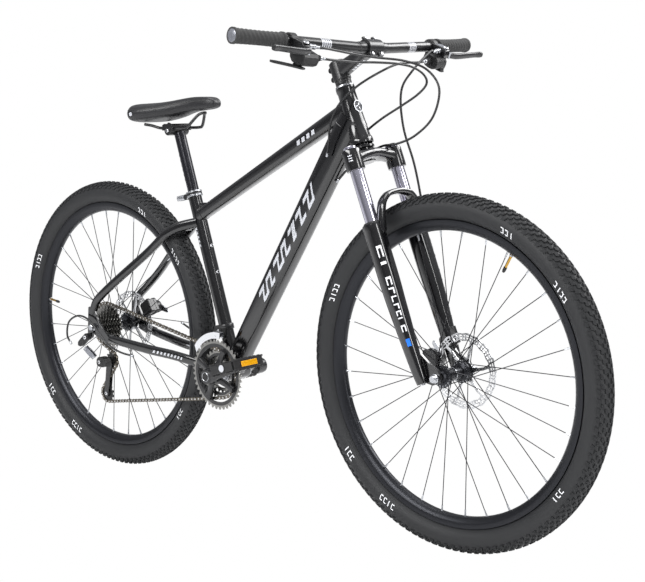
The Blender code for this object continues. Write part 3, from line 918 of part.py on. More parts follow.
# ------------------------------------------------------------------- finish
# finish: linear colour, roughness, metallic
FINISHES = {
    "gloss_black_paint": ((0.012, 0.012, 0.014), 0.22, 0.0),
    "satin_black": ((0.018, 0.018, 0.020), 0.40, 0.0),
    "polished_chrome": ((0.72, 0.71, 0.75), 0.10, 1.0),
    "bright_steel": ((0.45, 0.45, 0.46), 0.30, 1.0),
    "dull_steel": ((0.30, 0.29, 0.27), 0.40, 1.0),
    "silver_alloy": ((0.55, 0.55, 0.57), 0.30, 1.0),
    "dark_alloy": ((0.05, 0.05, 0.055), 0.35, 1.0),
    "black_nylon": ((0.020, 0.020, 0.020), 0.55, 0.0),
    "tyre_rubber": ((0.025, 0.025, 0.027), 0.75, 0.0),
    "saddle_leather": ((0.020, 0.020, 0.022), 0.50, 0.0),
}
NODE_FINISH = {
    "gloss_black_paint": ["frame", "fork_crown", "fork_lowers"],
    "polished_chrome": ["right_stanchion", "left_stanchion"],
    "bright_steel": ["bottom_bracket", "front_axle", "rear_axle", "front_rotor", "rear_rotor", "cassette",
                     "front_derailleur_cage", "front_brake_arm", "rear_brake_arm"],
    "dull_steel": ["chain"],
    "silver_alloy": ["seat_clamp_collar", "seat_clamp_lever", "rear_derailleur_link"],
    "dark_alloy": ["front_rim", "rear_rim", "seatpost"],
    "black_nylon": ["preload_knob", "right_pedal", "left_pedal", "guide_pulley", "tension_pulley",
                    "rear_derailleur_knuckle", "rear_derailleur_body", "right_control_pod", "left_control_pod",
                    "right_shift_lever", "left_shift_lever", "front_brake_cable", "rear_brake_cable",
                    "rear_shift_cable", "front_shift_cable", "rear_shift_casing", "rear_brake_casing"],
    "tyre_rubber": ["front_tyre", "rear_tyre", "right_grip", "left_grip"],
    "saddle_leather": ["saddle"],
}
# points on the joint axes of the moving pieces; a piece that isn't here turns or slides about the rear axle
PIVOTS = {
    "fork_crown": HEAD_BOT, "stem": HEAD_BOT, "handlebar": HEAD_BOT, "stem_faceplate": HEAD_BOT,
    "right_grip": HEAD_BOT, "left_grip": HEAD_BOT, "right_control_pod": HEAD_BOT, "left_control_pod": HEAD_BOT,
    "right_stanchion": HEAD_BOT, "left_stanchion": HEAD_BOT, "front_brake_cable": HEAD_BOT,
    "fork_lowers": FRONT_AXLE, "front_axle": FRONT_AXLE, "front_brake_caliper": FRONT_AXLE,
    "front_tyre": FRONT_AXLE, "front_rim": FRONT_AXLE, "front_hub": FRONT_AXLE, "front_rotor": FRONT_AXLE,
    "preload_knob": steer(CROWN_TOP - GAP, STANCHION_P, STANCHION_Y),
    "front_axle_lever": CAM_F + Y * 0.0105, "rear_axle_lever": CAM_R + Y * 0.0105,
    "seat_clamp_lever": CAM_S + Y * 0.0040,
    "chainrings": BB, "right_crank": BB, "left_crank": BB,
    "right_pedal": BB + CR * CRANK_LEN, "left_pedal": BB - CR * CRANK_LEN,
    "front_brake_arm": F_DRUM, "rear_brake_arm": R_DRUM,
    "rear_derailleur_link": L_TOP, "rear_derailleur_body": L_BOT, "rear_derailleur_cage": GUIDE,
    "guide_pulley": GUIDE, "tension_pulley": TENSION,
    "right_brake_lever": BRAKE_PIVOT[-1], "left_brake_lever": BRAKE_PIVOT[1],
    "right_shift_lever": SHIFT_PIVOT[-1], "left_shift_lever": SHIFT_PIVOT[1],
    "seatpost": POST_TOP, "saddle_rails": POST_TOP, "saddle": POST_TOP,
}


def paint(name, colour, roughness, metallic):
    """A plain surface of one finish."""
    mat = bpy.data.materials.new(name)
    mat.use_nodes = True
    shader = mat.node_tree.nodes["Principled BSDF"]
    shader.inputs["Base Color"].default_value = (*colour, 1.0)
    shader.inputs["Roughness"].default_value = roughness
    shader.inputs["Metallic"].default_value = metallic
    mat.diffuse_color = (*colour, 1.0)
    return mat


def move_origin(ob, point):
    """Put the object's origin at point without moving its surface."""
    offset = Vector(point)
    for vertex in ob.data.vertices:
        vertex.co -= offset
    ob.location = offset


def finish_all():
    """Materials, smooth shading, origins on the joint axes and one collection for the bike."""
    finish_of = {node: finish for finish, nodes in NODE_FINISH.items() for node in nodes}
    home = bpy.data.collections.new("mountain_bike")
    bpy.context.scene.collection.children.link(home)
    for ob in [o for o in bpy.data.objects if o.type == "MESH" and not o.hide_render]:
        finish = finish_of.get(ob.name, "satin_black")
        ob.data.materials.clear()
        ob.data.materials.append(paint(ob.name + "_" + finish, *FINISHES[finish]))
        ob.data.shade_smooth()
        ob.data.set_sharp_from_angle(angle=math.radians(35))
        if ob.name in PIVOTS:
            move_origin(ob, PIVOTS[ob.name])
        for old in list(ob.users_collection):
            old.objects.unlink(ob)
        home.objects.link(ob)


finish_all()
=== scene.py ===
"""A hardtail mountain bike, every visible piece rebuilt in detail around its mechanical frame, on a white studio floor."""

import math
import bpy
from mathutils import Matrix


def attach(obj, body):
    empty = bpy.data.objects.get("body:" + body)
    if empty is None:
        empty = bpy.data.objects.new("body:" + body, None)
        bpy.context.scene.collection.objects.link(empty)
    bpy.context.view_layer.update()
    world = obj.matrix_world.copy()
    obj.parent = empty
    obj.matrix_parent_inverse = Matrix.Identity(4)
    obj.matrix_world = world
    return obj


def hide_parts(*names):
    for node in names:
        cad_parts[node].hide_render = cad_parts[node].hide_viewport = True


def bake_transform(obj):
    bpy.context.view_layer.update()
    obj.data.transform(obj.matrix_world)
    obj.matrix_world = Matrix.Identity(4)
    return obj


bl_info = {
    "name": "Hardtail Mountain Bike",
    "version": (1, 0, 0),
    "blender": (4, 5, 0),
    "location": "3D View > Sidebar > Bike",
    "description": "Builds the looks of a hardtail mountain bike piece by piece, on a white studio floor",
    "category": "Add Mesh",
}

import bmesh
import bpy
from mathutils import Matrix, Vector

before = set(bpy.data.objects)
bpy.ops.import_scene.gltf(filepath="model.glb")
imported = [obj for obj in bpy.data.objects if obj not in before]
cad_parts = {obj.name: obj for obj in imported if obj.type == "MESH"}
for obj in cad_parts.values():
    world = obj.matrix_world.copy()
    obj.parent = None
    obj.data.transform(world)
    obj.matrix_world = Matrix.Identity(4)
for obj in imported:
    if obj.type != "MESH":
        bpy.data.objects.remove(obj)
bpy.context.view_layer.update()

X, Y, Z = Vector((1, 0, 0)), Vector((0, 1, 0)), Vector((0, 0, 1))
TAU = 2 * math.pi

# ------------------------------------------------------------------ the bike's own sizes, in metres
REAR_AXLE = Vector((0, 0, 0))
FRONT_AXLE = Vector((1.096, 0, 0))
STEER_DN = Vector((math.cos(math.radians(69)), 0, -math.sin(math.radians(69))))
STEER_FW = Vector((math.sin(math.radians(69)), 0, math.cos(math.radians(69))))
HEAD_BOT = FRONT_AXLE - STEER_DN * 0.519 - STEER_FW * 0.0527
HEAD_LEN, HEAD_R, HEAD_TOP_R = 0.127, 0.0230, 0.0192
BB = Vector((0.445, 0, -0.072))
SEAT_UP = Vector((-math.cos(math.radians(72.5)), 0, math.sin(math.radians(72.5))))
SEAT_BASE = BB + X * 0.0075
SEAT_TOP = SEAT_BASE + SEAT_UP * 0.430
POST_TOP = SEAT_TOP + SEAT_UP * 0.162
HEAD_C = POST_TOP + SEAT_UP * 0.010 + Vector((-0.007, 0, 0.001))
REAR_HALF, FRONT_HALF, DROPOUT_T = 0.0675, 0.050, 0.0065
STANCHION_Y, STANCHION_P, STANCHION_R = 0.066, 0.020, 0.0140
CHAIN_PITCH = 0.0127
OUTER_TEETH, MIDDLE_TEETH, INNER_TEETH, PULLEY_TEETH = 40, 28, 22, 11
SPROCKETS, SPROCKET_STEP = (28, 24, 21, 18, 16, 14, 12, 11), 0.0048
RING_STEP = 0.0080
CRANK_LEN, CRANK_ANGLE = 0.170, math.radians(18.6)
RING_Y, SPROCKET_Y = -0.0475, -0.0290
GUIDE, TENSION = Vector((0.010, 0, -0.0915)), Vector((-0.010, 0, -0.1810))
STEM_C = HEAD_BOT - STEER_DN * 0.165
STEM_DIR = (STEER_FW * math.cos(math.radians(6)) - STEER_DN * math.sin(math.radians(6))).normalized()
STEM_UP = Vector((-STEM_DIR.z, 0, STEM_DIR.x))
BAR_C = STEM_C + STEM_DIR * 0.100
BAR_IN = BAR_C + Vector((-0.0015, 0.052, 0.0005))
BAR_END = BAR_C + Vector((-0.0318, 0.3617, 0.0159))
GRIP_LEN = 0.125
FRONT_ROTOR_Y, REAR_ROTOR_Y, ROTOR_R = 0.0395, 0.0520, 0.080


def steer(s, p=0.0, y=0.0):
    """Point s below the head tube's lower end, p ahead of the steering axis."""
    return HEAD_BOT + STEER_DN * s + STEER_FW * p + Y * y


def pitch_r(teeth):
    """Radius on which a sprocket carries the chain's pins."""
    return CHAIN_PITCH / (2 * math.sin(math.pi / teeth))


def polar(r, degrees, y=0.0):
    """Point in the rear wheel's plane, by radius and angle above the forward direction."""
    a = math.radians(degrees)
    return Vector((r * math.cos(a), y, r * math.sin(a)))


def basis(axis, hint=Z):
    """Axis and two directions across it."""
    w = Vector(axis).normalized()
    if abs(w.dot(hint)) > 0.98:
        hint = X
    u = (hint - w * w.dot(hint)).normalized()
    return w, u, w.cross(u)


# ------------------------------------------------------------------ finishes
def linear(hex_colour):
    """sRGB hex to linear red, green, blue."""
    parts = [int(hex_colour[i : i + 2], 16) / 255 for i in (0, 2, 4)]
    return tuple(c / 12.92 if c <= 0.04045 else ((c + 0.055) / 1.055) ** 2.4 for c in parts)


def add_node(tree, kind, **inputs):
    """Node of this kind with its inputs set by name."""
    made = tree.nodes.new(kind)
    for name, value in inputs.items():
        made.inputs[name.replace("_", " ")].default_value = value
    return made


# name: colour, roughness, metallic, coat, grain in mm, roughness change over the grain, bump
FINISHES = {
    "gloss_black_paint": ("0a0a0c", 0.16, 0.0, 0.6, 9.0, 0.05,
        0.0),  # wet-looking frame, sharp long highlights
    "satin_black_paint": ("111113", 0.34, 0.0, 0.2, 2.5, 0.08, 0.02),  # cranks, stem and bar: softer sheen
    "decal_silver": ("c9cbd0", 0.30, 0.2, 0.3, 4.0, 0.05, 0.0),  # pale marks printed under the lacquer
    "decal_white": ("f1f2f4", 0.35, 0.0, 0.2, 4.0, 0.05, 0.0),  # bright marks on the fork and tyres
    "decal_blue": ("1c74e6", 0.32, 0.0, 0.3, 4.0, 0.05, 0.0),  # small blue square on the fork leg
    "hard_chrome": ("cfcdda", 0.07, 1.0, 0.0, 6.0, 0.03, 0.0),  # stanchions with a faint lavender tint
    "machined_silver": ("b9bbbf", 0.28, 1.0, 0.0, 1.2, 0.10, 0.02),  # turned alloy: bright, slightly grained
    "ground_stainless": ("c3c4c6", 0.26, 1.0, 0.0, 0.8, 0.12, 0.03),  # rotors, with a fine grind
    "bright_plate": ("dedfe2", 0.18, 1.0, 0.0, 3.0, 0.06, 0.0),  # derailleur plate, bolts
    "oiled_chain_steel": ("6f6a62", 0.36, 1.0, 0.0, 1.0, 0.15, 0.03),  # dull oiled links
    "sprocket_steel": ("8b8a87", 0.32, 1.0, 0.0, 1.5, 0.12, 0.02),  # stamped sprockets
    "black_spoke_steel": ("1c1c1f", 0.30, 0.6, 0.0, 2.0, 0.05, 0.0),  # thin dark spokes
    "dark_anodised": ("26272b", 0.34, 0.7, 0.0, 2.0, 0.08, 0.02),  # rims and hub shells
    "post_anodised": ("1d1d23", 0.24, 0.5, 0.2, 2.0, 0.08, 0.0),  # seat post with a cool highlight
    # moulded_nylon also colours the socket recess of every screw: painted shade
    "moulded_nylon": ("141415", 0.50, 0.0, 0.0, 0.7, 0.08, 0.05),  # pedals, pods: fine moulded skin
    "pod_silver_lacquer": ("7c7e85", 0.30, 0.4, 0.3, 1.5, 0.06, 0.0),  # grey shifter lid
    "tread_rubber": ("17181a", 0.78, 0.0, 0.0, 0.6, 0.08, 0.12),  # matt tread with a dusty grain
    "sidewall_rubber": ("1a1b1d", 0.60, 0.0, 0.0, 0.8, 0.08, 0.06),  # smoother tyre wall
    "grip_rubber": ("161617", 0.66, 0.0, 0.0, 0.5, 0.10, 0.10),  # soft grips
    "saddle_vinyl": ("131316", 0.42, 0.0, 0.0, 0.9, 0.10, 0.14),  # leather-like grain, grey sheen
    "cable_sheath": ("0e0e10", 0.38, 0.0, 0.1, 2.0, 0.05, 0.0),  # extruded black casing
    "amber_reflector": ("d99a10", 0.12, 0.0, 0.5, 2.0, 0.04, 0.0),  # pedal reflector
    "brass": ("b58f45", 0.26, 1.0, 0.0, 1.0, 0.08, 0.0),  # valve stems
}
USER_COLOURS = {"gloss_black_paint": "paint", "decal_silver": "marks", "amber_reflector": "reflectors"}


def finish(name):
    """The material of this finish, made once."""
    if name in bpy.data.materials:
        return bpy.data.materials[name]
    colour, rough, metal, coat, grain, change, bump = FINISHES[name]
    rgb = getattr(bpy.context.scene.bike_looks, USER_COLOURS[name]) if name in USER_COLOURS else linear(
        colour)
    mat = bpy.data.materials.new(name)
    mat.use_nodes = True
    tree = mat.node_tree
    shader = tree.nodes["Principled BSDF"]
    shader.inputs["Base Color"].default_value = (*rgb, 1.0)
    shader.inputs["Metallic"].default_value = metal
    shader.inputs["Coat Weight"].default_value = coat
    shader.inputs["Coat Roughness"].default_value = 0.06
    place = add_node(tree, "ShaderNodeTexCoord")
    noise = add_node(tree, "ShaderNodeTexNoise", Scale=1000 / grain, Detail=4.0, Roughness=0.6)
    spread = add_node(tree, "ShaderNodeMapRange", To_Min=max(0.02, rough - change), To_Max=rough + change)
    tree.links.new(place.outputs["Object"], noise.inputs["Vector"])
    tree.links.new(noise.outputs["Fac"], spread.inputs["Value"])
    tree.links.new(spread.outputs["Result"], shader.inputs["Roughness"])
    if bump:
        relief = add_node(tree, "ShaderNodeBump", Strength=bump, Distance=0.0006)
        tree.links.new(noise.outputs["Fac"], relief.inputs["Height"])
        tree.links.new(relief.outputs["Normal"], shader.inputs["Normal"])
    return mat


# ------------------------------------------------------------------ shapes
def smooth_run(stations, steps):
    """Catmull-Rom through equal-length tuples of numbers, steps to each span."""
    rows = [Vector(s) for s in stations]
    rows = [rows[0] * 2 - rows[1]] + rows + [rows[-1] * 2 - rows[-2]]
    out = []
    for i in range(1, len(rows) - 2):
        a, b, c, d = rows[i - 1 : i + 3]
        for k in range(steps):
            t = k / steps
            out.append(
                0.5 * ((2 * b) + (c - a) * t + (2 * a - 5 * b + 4 * c - d) * t * t + (3 * b - a - 3 * c
                    + d) * t**3)
            )
    return out + [rows[-2]]


def rounded(half_w, half_h, power, a):
    """Point at angle a of a rounded box: power 2 is an ellipse, larger is squarer."""
    c, s = math.cos(a), math.sin(a)
    k = (abs(c) ** power + abs(s) ** power) ** (-1 / power)
    return half_w * c * k, half_h * s * k


class Tube:
    """A skin along a smooth run of (x, y, z, half width, half height), its width along side, or carried on if side is None."""

    def __init__(self, stations, side=Y, power=2.0, steps=6):
        at = smooth_run([s[:3] for s in stations], steps)
        size = smooth_run([(s[3], s[4]) for s in stations], steps)
        self.power, self.rings = power, []
        last = None
        for i, p in enumerate(at):
            ahead = (at[min(i + 1, len(at) - 1)] - at[max(i - 1, 0)]).normalized()
            hint = side or last or (X if abs(ahead.x) < 0.8 else Z)
            u = last = (hint - ahead * hint.dot(ahead)).normalized()
            self.rings.append((p, u, u.cross(ahead), size[i][0], size[i][1]))

    def point(self, t, a, lift=0.0):
        """Skin point at share t of the run and angle a from side, raised by lift."""
        k = min(max(t, 0.0), 1.0) * (len(self.rings) - 1)
        i = min(int(k), len(self.rings) - 2)
        f = k - i
        both = []
        for p, u, v, w, h in (self.rings[i], self.rings[i + 1]):
            x, y = rounded(w + lift, h + lift, self.power, a)
            both.append(p + u * x + v * y)
        return both[0].lerp(both[1], f)


class Shape:
    """Faces of several finishes gathered into one mesh."""

    def __init__(self):
        self.verts, self.faces, self.slots, self.used = [], [], [], []

    def add(self, finish_name, verts, faces):
        """Append faces of one finish."""
        if finish_name not in self.used:
            self.used.append(finish_name)
        base, slot = len(self.verts), self.used.index(finish_name)
        self.verts += [tuple(v) for v in verts]
        self.faces += [[i + base for i in f] for f in faces]
        self.slots += [slot] * len(faces)
        return self

    def grid(self, finish_name, rows, wrap_rows=False, wrap_cols=True, caps=False):
        """Quads over rows of points."""
        n, m = len(rows), len(rows[0])
        faces = []
        for i in range(n if wrap_rows else n - 1):
            for k in range(m if wrap_cols else m - 1):
                j, l = (i + 1) % n, (k + 1) % m
                faces.append((i * m + k, i * m + l, j * m + l, j * m + k))
        if caps:
            faces += [tuple(range(m - 1, -1, -1)), tuple(range((n - 1) * m, n * m))]
        return self.add(finish_name, [p for row in rows for p in row], faces)

    def tube(self, finish_name, tube, around=28):
        """Closed skin of a Tube."""
        rows = [
            [p + u * x + v * y for x, y in (rounded(w, h, tube.power,
                TAU * k / around) for k in range(around))]
            for p, u, v, w, h in tube.rings
        ]
        return self.grid(finish_name, rows, caps=True)

    def wire(self, finish_name, points, r, around=10, steps=4, side=None):
        """Round wire of radius r through points."""
        return self.tube(finish_name, Tube([(*p, r, r) for p in points], side, 2.0, steps), around)

    def rod(self, finish_name, p, q, r, r2=None, around=16):
        """Straight round rod from p to q, tapering from r to r2."""
        p, q = Vector(p), Vector(q)
        return self.lathe(finish_name, [(0, 0), (r, 0), (r2 or r, (q - p).length), (0, (q - p).length)], p,
            q - p, around)

    def lathe(self, finish_name, profile, at, axis=Y, segs=40, closed=False):
        """Turned form: profile is (radius, height) along axis from at."""
        w, u, v = basis(axis)
        rows = []
        for k in range(segs):
            a = TAU * k / segs
            out = u * math.cos(a) + v * math.sin(a)
            rows.append([at + out * r + w * h for r, h in profile])
        return self.grid(finish_name, rows, wrap_rows=True, wrap_cols=closed)

    def prism(self, finish_name, outline, at, u, v, w, d0, d1):
        """Plate of this outline in u and v, from d0 to d1 along w."""
        n = len(outline)
        verts = [at + u * a + v * b + w * d for d in (d0, d1) for a, b in outline]
        faces = [tuple(range(n)), tuple(range(2 * n - 1, n - 1, -1))]
        faces += [(k, k + n, (k + 1) % n + n, (k + 1) % n) for k in range(n)]
        return self.add(finish_name, verts, faces)

    def patch(self, finish_name, tube, t0, t1, a0, a1, lean=0.0, lift=0.0004, cells=4):
        """Thin mark on a tube's skin between shares t0 and t1 and angles a0 and a1; lean slants it."""
        rows = []
        for i in range(cells + 1):
            a = a0 + (a1 - a0) * i / cells
            shift = lean * i / cells
            rows.append([tube.point(t0 + shift + (t1 - t0) * k / 2, a, lift) for k in range(3)])
        return self.grid(finish_name, rows, wrap_cols=False)

    def bolt(self, finish_name, at, axis, r=0.004, h=0.004):
        """Socket-head screw whose recess is painted dark with the black nylon finish: painted shade inside
        the socket.
        """
        self.lathe(finish_name, [(r * 0.52, h), (r * 0.9, h), (r, h * 0.8), (r, 0)], at, axis, 18)
        # the socket's floor and wall take the black nylon finish: painted shade, not the screw's own metal
        return self.lathe("moulded_nylon", [(0, h * 0.35), (r * 0.5, h * 0.35), (r * 0.52, h)], at, axis, 6)

    def ring_of_teeth(self, finish_name, at, teeth, r_in, y, thick):
        """Sprocket with a rounded tooth on every pitch."""
        tip, root = pitch_r(teeth) + 0.0030, pitch_r(teeth) - 0.0037
        shape = ((0.0, root), (0.16, root + 0.0009), (0.34, tip - 0.0012), (0.45, tip), (0.55, tip),
            (0.66, tip - 0.0012), (0.84, root + 0.0009))
        edge = [(r, TAU * (k + share) / teeth) for k in range(teeth) for share, r in shape]
        outer, inner = [], []
        for dy in (-thick / 2, thick / 2):
            outer.append([at + Vector((r * math.cos(a), y + dy, r * math.sin(a))) for r, a in edge])
            inner.append([at + Vector((r_in * math.cos(a), y + dy, r_in * math.sin(a))) for _, a in edge])
        return self.grid(finish_name, [outer[0], outer[1], inner[1], inner[0]], wrap_rows=True)

    def make(self, name, body, replaces=(), bevel=0.0, angle=32):
        """The finished mesh, riding on its body."""
        mesh = bpy.data.meshes.new(name)
        mesh.from_pydata(self.verts, [], self.faces)
        for used in self.used:
            mesh.materials.append(finish(used))
        mesh.polygons.foreach_set("material_index", self.slots)
        work = bmesh.new()
        work.from_mesh(mesh)
        bmesh.ops.remove_doubles(work, verts=work.verts, dist=1e-6)
        bmesh.ops.recalc_face_normals(work, faces=work.faces)
        work.to_mesh(mesh)
        work.free()
        mesh.shade_smooth()
        mesh.set_sharp_from_angle(angle=math.radians(angle))
        ob = bpy.data.objects.new(name, mesh)
        bpy.context.scene.collection.objects.link(ob)
        if bevel:
            edge = ob.modifiers.new("soft_edges", "BEVEL")
            edge.width, edge.segments, edge.limit_method = bevel, 2, "ANGLE"
            edge.angle_limit = math.radians(35)
        if replaces:
            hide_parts(*replaces)
        if body:
            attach(ob, body)
        return ob


# ------------------------------------------------------------------ frame
def build_frame():
    """Painted frame: shaped tubes, stays, frame ends, bosses and plain pale marks."""
    s = Shape()
    paint = "gloss_black_paint"
    top_front = steer(-(HEAD_LEN - 0.045))
    top_back = SEAT_BASE + SEAT_UP * 0.382
    mid = top_back.lerp(top_front, 0.5)
    top = Tube([(*top_back, 0.0152, 0.0147), (*mid, 0.0165, 0.0160), (*top_front, 0.0173, 0.0184)], Y, 3.2,
        10)
    down_base, down_top = BB + Vector((0.0005, 0, 0.0095)), steer(-0.060)
    dm = down_base.lerp(down_top, 0.5)
    down = Tube([(*down_base, 0.0214, 0.0252), (*dm, 0.0225, 0.0280), (*down_top, 0.0225, 0.0308)], Y, 3.4,
        10)
    seat = Tube([(*(SEAT_BASE + SEAT_UP * t), 0.0161, 0.0161) for t in (0.004, 0.2, 0.430)], Y, 2.0, 3)
    for t in (top, down, seat):
        s.tube(paint, t, 40)
    s.lathe(paint, [(HEAD_R, -0.001), (HEAD_R + 0.0025, -0.001), (HEAD_R + 0.0028, 0.004),
        (HEAD_R + 0.0022, 0.010),
                    (HEAD_R, 0.0135), (0.0214, 0.050), (HEAD_TOP_R + 0.0006, 0.090), (HEAD_TOP_R,
                        HEAD_LEN - 0.012),
                    (HEAD_TOP_R + 0.0016, HEAD_LEN - 0.008), (HEAD_TOP_R + 0.0016, HEAD_LEN), (0.0172,
                        HEAD_LEN)], HEAD_BOT, -STEER_DN, 56)
    s.lathe(paint, [(0.0178, -0.034), (0.0205, -0.034), (0.0209, -0.030), (0.0209, 0.030), (0.0205, 0.034),
        (0.0178, 0.034)], BB, Y, 48)
    gusset = Tube([(*(SEAT_BASE + SEAT_UP * 0.410), 0.007, 0.006),
        (*(top_back.lerp(top_front, 0.10) + Z * 0.004), 0.007, 0.006)], Y, 3.0, 4)
    s.tube(paint, gusset, 20)
    stay_in = REAR_HALF + DROPOUT_T * 0.5 - 0.0012
    for side in (-1, 1):
        seatstay = [(SEAT_BASE + SEAT_UP * 0.368 + Y * side * 0.010, 1.2),
            (polar(0.394, 42.6, side * 0.026), 1.2),
                    (polar(0.359, 44.2, side * 0.0365), 1.1), (polar(0.330, 44.8, side * 0.0395),
                        1.05), (polar(0.274, 46.5, side * 0.0435), 1.0),
                    (polar(0.176, 52.0, side * 0.0615), 1.0), (Vector((0.046, side * stay_in, 0.094)), 1.0),
                    (Vector((0.010, side * stay_in, 0.066)), 1.0), (Vector((-0.008, side * stay_in, 0.034)),
                        0.9)]
        s.tube(paint, Tube([(*p, 0.0085, 0.0100 * k) for p, k in seatstay], Y, 2.8, 6), 24)
        chainstay = [(BB + Vector((-0.006, side * 0.021, -0.002)), 1.1),
            (BB + Vector((-0.040, side * 0.0265, 0.006)), 1.1),
            (BB + Vector((-0.080, side * 0.0335, 0.013)), 1.1),
                     (BB + Vector((-0.120, side * 0.0410, 0.020)),
                         1.15), (BB + Vector((-0.175, side * 0.0480, 0.027)), 1.15),
                     (BB + Vector((-0.245, side * 0.0545, 0.032)),
                         1.15), (Vector((0.110, side * 0.0645, -0.030)),
                         1.1), (Vector((0.062, side * stay_in, -0.024)), 1.0)]
        cs = Tube([(*p, 0.0073, 0.0100 * k) for p, k in chainstay], Y, 2.8, 6)
        s.tube(paint, cs, 24)
        a = math.pi if side < 0 else 0.0
        for k in range(9):
            s.patch("decal_silver", cs, 0.46 + 0.026 * k, 0.46 + 0.026 * k + 0.012, a - 0.28, a + 0.28, 0.006)
    s.lathe(paint, [(0, -0.028), (0.0080, -0.028), (0.0080, 0.028), (0, 0.028)], polar(0.383, 43.2), Y, 24)
    s.lathe(paint, [(0, -0.028), (0.007, -0.028), (0.007, 0.028), (0, 0.028)],
        BB + Vector((-0.050, 0, 0.008)), Y, 20)
    # weld beads round the tube ends
    for tube, t in ((top, 0.985), (top, 0.035), (down, 0.965), (down, 0.05)):
        ring = [tube.point(t + 0.0025 * math.sin(3 * TAU * k / 40), TAU * k / 40, 0.0006) for k in range(40)]
        s.grid(paint, [[p.lerp(tube.point(t, TAU * k / 40, -0.001), b) for k,
            p in enumerate(ring)] for b in (0.0, 1.0)])
    # slanted pale bars along the down tube, where a maker's lettering would be
    for k, wide in enumerate((0.030, 0.020, 0.034, 0.024, 0.012, 0.028, 0.032)):
        t = 0.300 + 0.062 * k
        for low, high in ((-0.50, -0.30), (0.18, 0.42)):
            s.patch("decal_silver", down, t, t + wide + 0.012, math.pi + low, math.pi + high, 0.012)
        s.patch("decal_silver", down, t, t + 0.011, math.pi - 0.50, math.pi + 0.42, 0.040)
        if k % 2 == 0:
            s.patch("decal_silver", down, t + wide, t + wide + 0.010, math.pi - 0.50, math.pi + 0.42, 0.040)
    for k in range(4):
        s.patch("decal_silver", top, 0.70 + 0.030 * k, 0.70 + 0.030 * k + 0.018, math.pi - 0.35,
            math.pi + 0.20, 0.006)
    for k in range(5):
        s.patch("decal_silver", seat, 0.74 + 0.022 * k, 0.752 + 0.022 * k, math.pi * 1.02, math.pi * 1.26,
            0.004)
    # round badge on the head tube
    face = STEER_FW
    badge = HEAD_BOT - STEER_DN * 0.078
    s.lathe("decal_silver", [(0.0132, 0.0206), (0.0132, 0.0213), (0.0116, 0.0213), (0.0116, 0.0206)], badge,
        face, 40, True)
    s.lathe("dark_anodised", [(0, 0.0209), (0.0116, 0.0209)], badge, face, 40)
    for k in range(3):
        a = TAU * k / 3 + 0.5
        u, v = -STEER_DN, Y
        d = u * math.cos(a) + v * math.sin(a)
        s.prism("decal_silver", [(0.002, -0.0012), (0.010, -0.0006), (0.010, 0.0006), (0.002, 0.0012)], badge,
            d, face.cross(d), face, 0.0206, 0.0212)
    # bottle bosses
    d = (down_top - down_base).normalized()
    up = Vector((-d.z, 0, d.x))
    for t in (0.20, 0.27):
        s.bolt("bright_plate", down_base + d * t + up * 0.0265, up, 0.0042, 0.0035)
    for t in (0.24, 0.305):
        s.bolt("bright_plate", SEAT_BASE + SEAT_UP * t + Vector((SEAT_UP.z, 0, -SEAT_UP.x)) * 0.0158,
            Vector((SEAT_UP.z, 0, -SEAT_UP.x)), 0.0042, 0.0035)
    s.make("painted_frame_tubes", "frame", ["frame"])
    # frame ends, softly bevelled
    e = Shape()
    slot = 0.0048
    arc = [(-slot * math.cos(math.pi * k / 10), slot * math.sin(math.pi * k / 10)) for k in range(11)]
    for side in (-1, 1):
        outline = [(-0.020, 0.050), (-0.024, 0.010), (-0.022, -0.018), (-slot - 0.003, -0.022),
            (-slot, -0.016)] + arc
        outline += [(slot, -0.016), (slot + 0.004, -0.023), (0.036, -0.032), (0.074, -0.034), (0.076, -0.014),
            (0.050, -0.010), (0.022, 0.012), (0.006, 0.040), (0.002, 0.056)]
        if side < 0:
            outline = outline[:2] + [(-0.026, -0.010), (-0.027, -0.026), (-0.019, -0.034),
                (-0.010, -0.029)] + outline[3:]
        lo, hi = sorted((side * REAR_HALF, side * (REAR_HALF + DROPOUT_T)))
        e.prism(paint, outline, REAR_AXLE, X, Z, Y, lo, hi)
    e.make("frame_ends", "frame", bevel=0.0009)
    b = Shape()
    for side in (-1, 1):
        profile = [(0.0105, 0.0342), (0.0195, 0.0342), (0.0198, 0.0360), (0.0190, 0.0375), (0.0105, 0.0375)]
        b.lathe("machined_silver", [(r, h * side) for r, h in profile], BB, Y, 32)
    b.make("bearing_cups", "frame", ["bottom_bracket"])


def build_seat_clamp():
    """Two-band collar with its ears and a cam lever."""
    s = Shape()
    s.lathe("machined_silver", [(0.0139, 0.0003), (0.0194, 0.0003), (0.0196, 0.0015), (0.0196, 0.0040),
        (0.0185, 0.0046), (0.0185, 0.0050)], SEAT_TOP, SEAT_UP, 44)
    s.lathe("satin_black_paint", [(0.0185, 0.0050), (0.0190, 0.0056), (0.0190, 0.0096), (0.0185, 0.0102)],
        SEAT_TOP, SEAT_UP, 44)
    s.lathe("machined_silver", [(0.0185, 0.0102), (0.0196, 0.0106), (0.0196, 0.0132), (0.0190, 0.0140),
        (0.0139, 0.0140)], SEAT_TOP, SEAT_UP, 44)
    ear = SEAT_TOP + SEAT_UP * 0.0075 + Vector((-0.024, 0, -0.0075))
    for side in (-1, 1):
        s.lathe("satin_black_paint", [(0, 0.0012), (0.0066, 0.0012), (0.0068, 0.0024), (0.0068, 0.0078),
            (0.0060, 0.0086), (0, 0.0086)], ear, Y * side, 24)
    s.prism("satin_black_paint", [(0.0, -0.006), (0.009, -0.0066), (0.009, 0.0066), (0.0, 0.006)], ear, X,
        SEAT_UP, Y, -0.0080, 0.0080)
    s.make("seat_collar", "frame", ["seat_clamp_collar"])
    lever = Shape()
    at = SEAT_TOP + SEAT_UP * 0.0075 + Vector((-0.0275, 0.0020, -0.0075))
    cam_lever(lever, at, Vector((-1.0, 0, -0.15)), 0.045, "machined_silver")
    lever.make("seat_clamp_handle", "seat_clamp_lever", ["seat_clamp_lever"])


